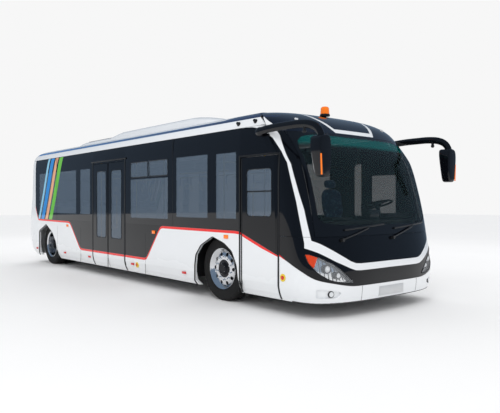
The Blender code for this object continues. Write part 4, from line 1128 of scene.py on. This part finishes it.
def makeFrontWheel(side):
    word = "left" if side > 0 else "right"
    body = "front_wheel_" + word
    centre = (side * wheel["frontX"], axleY, axleZ)
    sipedTyre("front_tyre_tread_" + word, [0], centre, side, "front_tyre_" + word, body)
    lip = wheel["rim"]
    disc = [(-0.112, 0.244), (-0.120, lip - 0.004), (-0.116, lip), (-0.100, lip - 0.002), (-0.096, 0.272),
            (0.094, 0.272), (0.100, lip - 0.002), (0.114, lip + 0.002), (0.121, lip - 0.003), (0.119, 0.288),
            (0.108, 0.277), (0.100, 0.262), (0.090, 0.250), (0.0800, 0.242), (0.0740, 0.234), (0.0760, 0.222),
            (0.0800, 0.205), (0.0830, 0.192), (0.0830, 0.150), (0.0830, 0.086), (0.0580, 0.086),
            (0.0580, 0.150), (0.0560, 0.215), (0.0300, 0.240)]
    rim = finishPiece("front_alloy_" + word, turned(disc, centre, 96, side), "alloy", body,
                      ["front_rim_" + word])
    handHoles(rim, wheel["frontX"] + 0.02, centre, side)
    nuts = nutCircle(bmesh.new(), side * (wheel["frontX"] + 0.083), centre, side, wheel["nutRing"], 0.0165,
                     0.022, wheel["nuts"])
    finishPiece("front_nuts_" + word, nuts, "chrome", body)
    hub = [(0.030, 0.0), (0.030, 0.130), (0.084, 0.130), (0.087, 0.126), (0.087, 0.098), (0.094, 0.088),
           (0.116, 0.082), (0.125, 0.072), (0.128, 0.060), (0.126, 0.054), (0.122, 0.050), (0.124, 0.0)]
    finishPiece("front_hub_" + word, turned(hub, centre, 48, side), "hub", body)
    studs = nutCircle(bmesh.new(), side * (wheel["frontX"] + 0.114), centre, side, 0.070, 0.007, 0.008, 6)
    finishPiece("front_hub_bolts_" + word, studs, "satin", body)
    back = [(-0.045, 0.205), (-0.045, 0.242), (0.028, 0.238), (0.028, 0.205)]
    finishPiece("front_drum_edge_" + word, turned(back, centre, 48, side), "cast", body)


def makeRearWheels(side):
    word = "left" if side > 0 else "right"
    body = "rear_wheels_" + word
    centre = (side * wheel["twinX"], axleY + wheelBase, axleZ)
    sipedTyre("rear_tyre_tread_" + word, [wheel["twinHalf"], -wheel["twinHalf"]], centre, side,
              "rear_tyres_" + word, body)
    lip = wheel["rim"]
    rim = [(0.012, 0.0), (0.012, 0.236), (0.060, 0.246), (0.200, 0.254), (0.262, 0.262), (0.272, 0.274),
           (0.278, lip - 0.003), (0.274, lip + 0.001), (0.258, lip - 0.001), (0.251, 0.271), (0.059, 0.271),
           (0.052, lip - 0.001), (0.038, lip), (0.032, lip - 0.004), (0.036, 0.262)]
    outline = rim + [(-x, r) for x, r in reversed(rim[1:])] + [(-0.012, 0.0)]
    made = finishPiece("rear_alloys_" + word, turned(outline, centre, 96, side), "alloy", body,
                       ["rear_rims_" + word])
    handHoles(made, wheel["twinX"] - 0.05, centre, side)
    nuts = nutCircle(bmesh.new(), side * (wheel["twinX"] + 0.012), centre, side, wheel["nutRing"], 0.0165,
                     0.024, wheel["nuts"])
    finishPiece("rear_nuts_" + word, nuts, "satin", body)
    hub = [(0.010, 0.0), (0.010, 0.140), (0.030, 0.138), (0.050, 0.118), (0.096, 0.104), (0.110, 0.096),
           (0.114, 0.084), (0.116, 0.0)]
    finishPiece("rear_hub_" + word, turned(hub, centre, 48, side), "hub", body)
    bolts = nutCircle(bmesh.new(), side * (wheel["twinX"] + 0.108), centre, side, 0.082, 0.008, 0.010, 8)
    finishPiece("rear_hub_bolts_" + word, bolts, "satin", body)


# ---- mirrors
mirror = {"x": 1.385,
          "arm": [(-1.00, 2.335), (-1.15, 2.352), (-1.40, 2.362), (-1.65, 2.362), (-1.82, 2.350),
                  (-1.95, 2.315), (-2.03, 2.255), (-2.065, 2.180), (-2.070, 2.10)],
          "head": [(1.262, 2.10), (1.280, 2.185), (1.330, 2.205), (1.420, 2.190), (1.455, 2.145),
                   (1.460, 2.02), (1.425, 1.760), (1.395, 1.715), (1.300, 1.715), (1.272, 1.750)]}


def smoothRoute(rows, count):
    points = [Vector(row) for row in rows]
    lengths = [0]
    for one, two in zip(points, points[1:]):
        lengths.append(lengths[-1] + (two - one).length)
    curves = [easedRows([(l, p[k]) for l, p in zip(lengths, points)]) for k in range(len(points[0]))]
    return [[curve(lengths[-1] * i / count) for curve in curves] for i in range(count + 1)]


def leanBack(corners, low, high):
    # the foot of a mirror case stands forward of its top
    for corner in corners:
        corner.co.y -= 0.060 * (1 - (corner.co.z - low) / (high - low))


def makeMirrors():
    for side, word in bothSides:
        bm = bmesh.new()
        route = smoothRoute(mirror["arm"], 48)
        path = [Vector((side * (mirror["x"] - 0.02 * k / 48), axleY + y, z)) for k,
                (y, z) in enumerate(route)]
        tube(path, 0.026, 0.050, 20, (1, 0, 0), bm)
        root = path[0]
        bmesh.ops.create_uvsphere(bm, u_segments=20, v_segments=12, radius=1, matrix=Matrix.Translation(
            root + Vector((-side * 0.012, 0.0, 0))) @ Matrix.Diagonal((0.040, 0.085, 0.060, 1)))
        finishPiece("mirror_arm_" + word, bm, "black", replaces=["mirror_" + word])
        outline = softOutline([(side * x, z) for x, z in mirror["head"]], 4, 0.4)
        case = softenEdges(prism(outline, -2.135, 0.185, "xz"), 0.022, 5, 0.9)
        low, high = min(z for x, z in outline), max(z for x, z in outline)
        leanBack([corner for corner in case.verts if corner.co.y > axleY - 2.04], low, high)
        finishPiece("mirror_case_" + word, case, "black", angle=50)
        middle = Vector((side * 1.362, 1.955))
        inner = [(middle.x + (x - middle.x) * 0.84, middle.y + (z - middle.y) * 0.90) for x, z in outline]
        glass = prism(inner, -1.9515, 0.003, "xz")
        leanBack(glass.verts, low, high)
        finishPiece("mirror_glass_" + word, glass, "mirror")
        edgeLine = [Vector((side * (1.430 + 0.010 * t / 10), axleY - 2.130,
                            1.735 + 0.024 * t)) for t in range(11)]
        finishPiece("mirror_repeater_" + word, tube(edgeLine, 0.013, 0.006, 10, (1, 0, 0)), "amber")
        eye = bmesh.new()
        place = Vector((side * 1.372, axleY - 1.80, 2.300))
        rod(place + Vector((0, 0, 0.02)), place + Vector((0, 0, -0.030)), 0.020, 20, eye)
        bmesh.ops.create_uvsphere(eye, u_segments=20, v_segments=12, radius=0.026,
                                  matrix=Matrix.Translation(place + Vector((0, 0, -0.035))))
        finishPiece("mirror_camera_" + word, eye, "trim")


# ---- roof gear
fairing = [(0.90, 0.620, 2.698), (0.98, 0.640, 2.760), (1.15, 0.655, 2.850), (1.45, 0.660, 2.900),
           (1.75, 0.660, 2.927), (3.00, 0.660, 2.930), (4.25, 0.660, 2.927), (4.55, 0.660, 2.890),
           (4.80, 0.660, 2.852), (6.05, 0.660, 2.848), (6.25, 0.655, 2.815), (6.42, 0.645, 2.760),
           (6.50, 0.625, 2.700)]


fans = {"places": (2.15, 2.75, 3.35, 3.95), "radii": (0.225, 0.180, 0.135, 0.090, 0.045), "well": 0.235,
        "grilleZ": 2.9345, "wellZ": 2.9325, "wire": 0.004}


def makeFairing():
    bm = bmesh.new()
    base = crownZ + 0.0005
    rings = []
    tops = easedRows([(y, top) for y, half, top in fairing])
    halves = easedRows([(y, half) for y, half, top in fairing])
    stations = [0.90 + 0.02 * k for k in range(10)] + [1.1 + 0.1 * k for k in range(53)]
    stations = sorted(set(stations + [6.36, 6.42, 6.47, 6.50]))
    steps = 28
    for y in stations:
        half, top = halves(y), tops(y)
        ring = []
        for k in range(steps + 1):
            angle = pi * k / steps
            c, s = cos(angle), sin(angle)
            x = half * (abs(c) ** 0.30) * (1 if c > 0 else -1) * (0.93 + 0.07 * (1 - s))
            ring.append(bm.verts.new(spot(x, y, base + (top - base) * abs(s) ** 0.42)))
        rings.append(ring)
    for one, two in zip(rings, rings[1:]):
        for k in range(steps):
            bm.faces.new((one[k], one[k + 1], two[k + 1], two[k]))
        bm.faces.new((one[0], two[0], two[-1], one[-1]))
    bm.faces.new(rings[0])
    bm.faces.new(rings[-1])
    finishPiece("roof_fairing", bm, "white", replaces=["roof_air_conditioner"], angle=40)
    grilles, wells = bmesh.new(), bmesh.new()
    wire = fans["wire"]
    for y in fans["places"]:
        middle = spot(0, y, fans["grilleZ"])
        for radius in fans["radii"]:
            ring = [middle + Vector((radius * cos(2 * pi * k / 36), radius * sin(2 * pi * k / 36), 0))
                    for k in range(37)]
            tube(ring, wire, wire, 6, (0, 0, 1), grilles)
        for k in range(4):
            angle = pi * k / 4
            reach = Vector((cos(angle), sin(angle), 0)) * fans["radii"][0]
            rod(middle - reach, middle + reach, wire, 8, grilles)
        middle = spot(0, y, fans["wellZ"])
        rod(middle - Vector((0, 0, 0.010)), middle, fans["well"], 48, wells)
    finishPiece("fan_grilles", grilles, "trim")
    finishPiece("fan_wells", wells, "trim")
    louvres = bmesh.new()
    for side in (1, -1):
        for k in range(26):
            y = 4.95 + 0.045 * k
            block(spot(side * 0.18, y, 2.846), spot(side * 0.50, y + 0.020, 2.8535), louvres)
    finishPiece("fairing_louvres", louvres, "trim")
    hatch = softenEdges(block(spot(-0.36, -0.20, crownZ - 0.01), spot(0.36, 0.52, crownZ + 0.035)), 0.02, 3)
    finishPiece("roof_hatch", hatch, "white")


def makeBeacon():
    middle = spot(0, -0.880, 2.684)
    lens = [(0.030, 0.0), (0.030, 0.0655), (0.040, 0.0655), (0.118, 0.0600), (0.130, 0.0520), (0.138, 0.0380),
            (0.1415, 0.018), (0.142, 0.0)]
    finishPiece("beacon_lens", upright(turned(lens, (0, 0, 0), 48), middle), "amber", replaces=["beacon"])
    foot = [(0.0, 0.0), (0.0, 0.0745), (0.018, 0.0745), (0.026, 0.071), (0.031, 0.067), (0.031, 0.0)]
    finishPiece("beacon_base", upright(turned(foot, (0, 0, 0), 48), middle), "trim")
    for side in (1, -1):
        base = noseAt(side * 0.916, 2.515, 0.0)
        out = endNormal(shareAtX(side * 0.916, 2.515), 2.515)
        lamp = softenEdges(rod(base - out * 0.005, base + out * 0.014, 0.026, 24), 0.005, 3)
        finishPiece("dome_marker_" + ("left" if side > 0 else "right"), lamp, "clear")


# ---- inside
def crowned(low, high, crown, cuts=10, power=4.0):
    # closed pad: a box whose sides swell between its corners
    bm = block(low, high)
    bmesh.ops.subdivide_edges(bm, edges=bm.edges, cuts=cuts, use_grid_fill=True)
    middle = (Vector(low) + Vector(high)) / 2
    half = (Vector(high) - Vector(low)) / 2
    for vert in bm.verts:
        u = [(vert.co[k] - middle[k]) / half[k] for k in range(3)]
        reach = max(abs(value) for value in u)
        length = sum(abs(value) ** power for value in u) ** (1 / power)
        pulled = [value * reach / length for value in u]
        for k in range(3):
            others = [pulled[i] for i in range(3) if i != k]
            swell = 1 - crown[k] * (1 - (1 - min(1, others[0] ** 2)) * (1 - min(1, others[1] ** 2)))
            vert.co[k] = middle[k] + half[k] * pulled[k] * swell
    return bm


def leaned(bm, hinge, angle):
    bmesh.ops.rotate(bm, cent=hinge, matrix=Matrix.Rotation(angle, 3, "X"), verts=bm.verts)
    return bm


def channels(bm, along, spacing, depth, faceAxis, way):
    # sewn channels pressed into the face that looks along faceAxis
    for vert in bm.verts:
        phase = abs(((vert.co[along] / spacing) % 1) - 0.5)
        pressed = max(0.0, 1 - phase / 0.16)
        vert.co[faceAxis] -= way * depth * pressed ** 2
    return bm


def makeSeats():
    seatX, floorZ = 0.720, 0.700
    pad = channels(crowned(spot(seatX - 0.235, -0.985, 1.035), spot(seatX + 0.235, -0.46, 1.150),
                           (0.02, 0.03, 0.22), 16), 0, 0.118, 0.006, 2, 1)
    driver = finishPiece("driver_cushion", pad, "blue", replaces=["driver_seat"], angle=60)
    back = channels(crowned(spot(seatX - 0.225, -0.475, 1.150), spot(seatX + 0.225, -0.375, 1.640),
                            (0.04, 0.20, 0.03), 16), 0, 0.112, 0.006, 1, -1)
    back = finishPiece("driver_backrest", leaned(back, spot(seatX, -0.42, 1.15), -0.14), "blue", angle=60)
    head = leaned(crowned(spot(seatX - 0.13, -0.455, 1.655), spot(seatX + 0.13, -0.385, 1.790),
                          (0.06, 0.2, 0.08), 12), spot(seatX, -0.42, 1.15), -0.14)
    head = finishPiece("driver_headrest", head, "blue", angle=60)
    stand = softenEdges(block(spot(seatX - 0.16, -0.90, floorZ), spot(seatX + 0.16, -0.56, 1.030)), 0.03, 3)
    finishPiece("driver_seat_base", stand, "trim")
    places = [-0.98, -0.49, 0.0, 0.49, 0.98]
    for k, x in enumerate(places):
        number = str(k + 1)
        low, high = spot(x - 0.232, 5.815, 1.330), spot(x + 0.232, 6.280, 1.470)
        pad = channels(crowned(low, high, (0.02, 0.03, 0.20), 14), 0, 0.155, 0.005, 2, 1)
        pad = finishPiece("rear_seat_cushion_" + number, pad, "blue", angle=60)
        if k == 0:
            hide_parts("rear_bench")
        rest = crowned(spot(x - 0.228, 6.235, 1.475), spot(x + 0.228, 6.325, 1.960), (0.03, 0.2, 0.03), 14)
        rest = channels(rest, 0, 0.152, 0.005, 1, -1)
        rest = finishPiece("rear_seat_back_" + number, leaned(rest, spot(x, 6.28, 1.47), -0.20), "blue",
                           angle=60)
    plinth = softenEdges(block(spot(-1.22, 5.90, 1.006), spot(1.22, 6.24, 1.325)), 0.012, 2)
    finishPiece("rear_seat_plinth", plinth, "lining")


def makeCab():
    hub, foot = spot(0.720, -1.270, 1.390), spot(0.720, -1.460, 0.720)
    tilt = (hub - foot).normalized()
    turn = tilt.to_track_quat("Z", "Y").to_matrix()
    bm = bmesh.new()
    ring = [hub + turn @ Vector((0.225 * cos(2 * pi * k / 64), 0.225 * sin(2 * pi * k / 64),
                                 0)) for k in range(65)]
    tube(ring, 0.0155, 0.0155, 12, tuple(tilt), bm)
    for k in range(3):
        angle = pi / 2 + 2 * pi * k / 3
        rod(hub, hub + turn @ Vector((0.218 * cos(angle), 0.218 * sin(angle), 0)), 0.016, 10, bm, 0.011)
    rod(hub - tilt * 0.02, hub + tilt * 0.022, 0.065, 32, bm, 0.052)
    rod(foot, hub - tilt * 0.02, 0.038, 24, bm, 0.030)
    finishPiece("steering_wheel_rim", bm, "trim", replaces=["steering_wheel"])
    top = bmesh.new()
    block(spot(0.44, -1.66, 1.18), spot(1.00, -1.50, 1.265), top)
    finishPiece("instrument_hood", softenEdges(top, 0.03, 4), "trim")
    dials = bmesh.new()
    for x in (0.60, 0.84):
        rod(spot(x, -1.500, 1.215), spot(x, -1.494, 1.215), 0.042, 32, dials)
    finishPiece("dial_faces", dials, "dark")
    screenPad = softenEdges(block(spot(0.14, -1.60, 1.185), spot(0.36, -1.575, 1.32)), 0.008, 3)
    finishPiece("dash_display", screenPad, "dark")
    box = softenEdges(block(spot(-0.80, -1.72, 1.18), spot(-0.40, -1.55, 1.225)), 0.015, 3)
    finishPiece("dash_tray", box, "trim")


def makeCabinTrim():
    straps = bmesh.new()
    grips = bmesh.new()
    for side in (1, -1):
        for k in range(11):
            y = 1.25 + 0.40 * k
            top = spot(side * 0.45, y, 1.935)
            block(top + Vector((-0.003, -0.014, -0.16)), top + Vector((0.003, 0.014, 0.0)), straps)
            ring = [top + Vector((0, 0.052 * sin(2 * pi * i / 24),
                                  -0.215 + 0.056 * cos(2 * pi * i / 24))) for i in range(25)]
            tube(ring, 0.007, 0.007, 8, (1, 0, 0), grips)
    finishPiece("strap_hangers", straps, "trim")
    finishPiece("strap_grips", grips, "yellow")
    lights = bmesh.new()
    for side in (1, -1):
        block(spot(side * 0.80 - 0.05, 0.4, 2.600), spot(side * 0.80 + 0.05, 6.4, 2.612), lights)
    finishPiece("ceiling_lights", lights, "clear")
    lining = softenEdges(block(spot(-1.10, -0.55, 2.615), spot(1.10, 7.00, 2.622)), 0.002)
    finishPiece("ceiling_lining", lining, "lining")


# ---- finishes of the frame's own pieces
nodePaints = {"side": ["left_side_wall", "right_side_wall", "front_door", "mid_door_front_leaf",
                       "mid_door_rear_leaf"],
              "band": ["left_glass_front", "left_glass_rear", "right_glass_front", "right_glass_rear",
                       "front_door_glass", "mid_door_front_leaf_glass", "mid_door_rear_leaf_glass"],
              "steel": ["chassis_frame"],
              "cast": ["front_axle_beam", "rear_axle", "steering_knuckle_left", "steering_knuckle_right",
                       "engine"], "vinyl": ["cabin_floor", "driver_platform", "rear_platform"],
              "trim": ["dashboard", "wheel_box_left", "wheel_box_right"], "yellow": ["grab_rails"]}


def paintNodes():
    for paint, names in nodePaints.items():
        for name in names:
            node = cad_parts[name]
            if not node.material_slots:
                node.data.materials.append(paints[paint])
            for slot in node.material_slots:
                slot.material = paints[paint]


camera = {"lens": 40.57, "sensor": 36.0, "from": (-6.181, -6.485, 1.406), "yaw": 40.24, "down": 0.31}


studio = {"world": [((0.985, 0.99, 1.0), 0.96, None), ((0.42, 0.58, 0.80), 0.42, "Is Glossy Ray"),
                    ((1.0, 1.0, 1.0), 0.93, "Is Camera Ray")],
          "lights": [("key", (-9, -9, 11), 3.0, 260), ("top", (0, 1, 12), 9.0, 60),
                     ("left", (11, -3, 8), 6.0, 80), ("rear", (3, 13, 8), 6.0, 80)]}


def makeStage():
    bm = bmesh.new()
    bmesh.ops.create_grid(bm, x_segments=2, y_segments=2, size=60)
    mesh = bpy.data.meshes.new("floor")
    bm.to_mesh(mesh)
    bm.free()
    floor = bpy.data.objects.new("floor", mesh)
    bpy.context.scene.collection.objects.link(floor)
    ground = Paint("studio_floor", roughness=0.85, specularLevel=0.1)
    ground.set(baseColor=ground.mix(ground.noise(0.5, 2.0), (0.93, 0.93, 0.93), (0.96, 0.96, 0.96)))
    mesh.materials.append(ground.material)
    world = bpy.context.scene.world or bpy.data.worlds.new("studio")
    bpy.context.scene.world = world
    world.use_nodes = True
    tree = world.node_tree
    tree.nodes.clear()
    out = tree.nodes.new("ShaderNodeOutputWorld")
    sight = tree.nodes.new("ShaderNodeLightPath")
    layer = None
    for tone, strength, ray in studio["world"]:
        sky = tree.nodes.new("ShaderNodeBackground")
        sky.inputs["Color"].default_value = tone + (1,)
        sky.inputs["Strength"].default_value = strength
        if layer is None:
            layer = sky.outputs[0]
            continue
        blend = tree.nodes.new("ShaderNodeMixShader")
        tree.links.new(sight.outputs[ray], blend.inputs[0])
        tree.links.new(layer, blend.inputs[1])
        tree.links.new(sky.outputs[0], blend.inputs[2])
        layer = blend.outputs[0]
    tree.links.new(layer, out.inputs["Surface"])
    bpy.context.scene.view_settings.view_transform = "Standard"
    bpy.context.scene.view_settings.look = "None"
    lights = studio["lights"]
    for name, place, size, power in lights:
        light = bpy.data.lights.new(name, "AREA")
        light.size = size
        light.energy = power
        lamp = bpy.data.objects.new(name, light)
        lamp.location = place
        lamp.visible_glossy = False     # black paint and glass reflect the room, and no lamp
        lamp.rotation_euler = (Vector((0, 0, 1)) - Vector(place)).to_track_quat("-Z", "Y").to_euler()
        bpy.context.scene.collection.objects.link(lamp)
    view = bpy.data.cameras.new("camera")
    view.lens = camera["lens"]
    view.sensor_width = camera["sensor"]
    seat = bpy.data.objects.new("camera", view)
    x, y, z = camera["from"]
    seat.location = (x, y + axleY, z)
    seat.rotation_euler = (radians(90 - camera["down"]), 0, -radians(camera["yaw"]))
    bpy.context.scene.collection.objects.link(seat)
    bpy.context.scene.camera = seat


makeStage()
print("stage")
paintNodes()
bumperSkin, faceSkin = makeFront()
print("front")
makeRoof()
makeRear()
print("roof and rear")
makeHeadlamps(faceSkin)
makeBumperGear(bumperSkin)
makeWipers()
print("lamps and wipers")
makeDoorTrim()
makeSideTrim()
print("doors and sides")
for side in (1, -1):
    makeFrontWheel(side)
    makeRearWheels(side)
print("wheels")
makeMirrors()
makeFairing()
makeBeacon()
print("mirrors and roof gear")
makeSeats()
makeCab()
makeCabinTrim()
print("inside")
print(len(madePieces), "pieces,", sum(len(p.data.polygons) for p in madePieces), "faces")
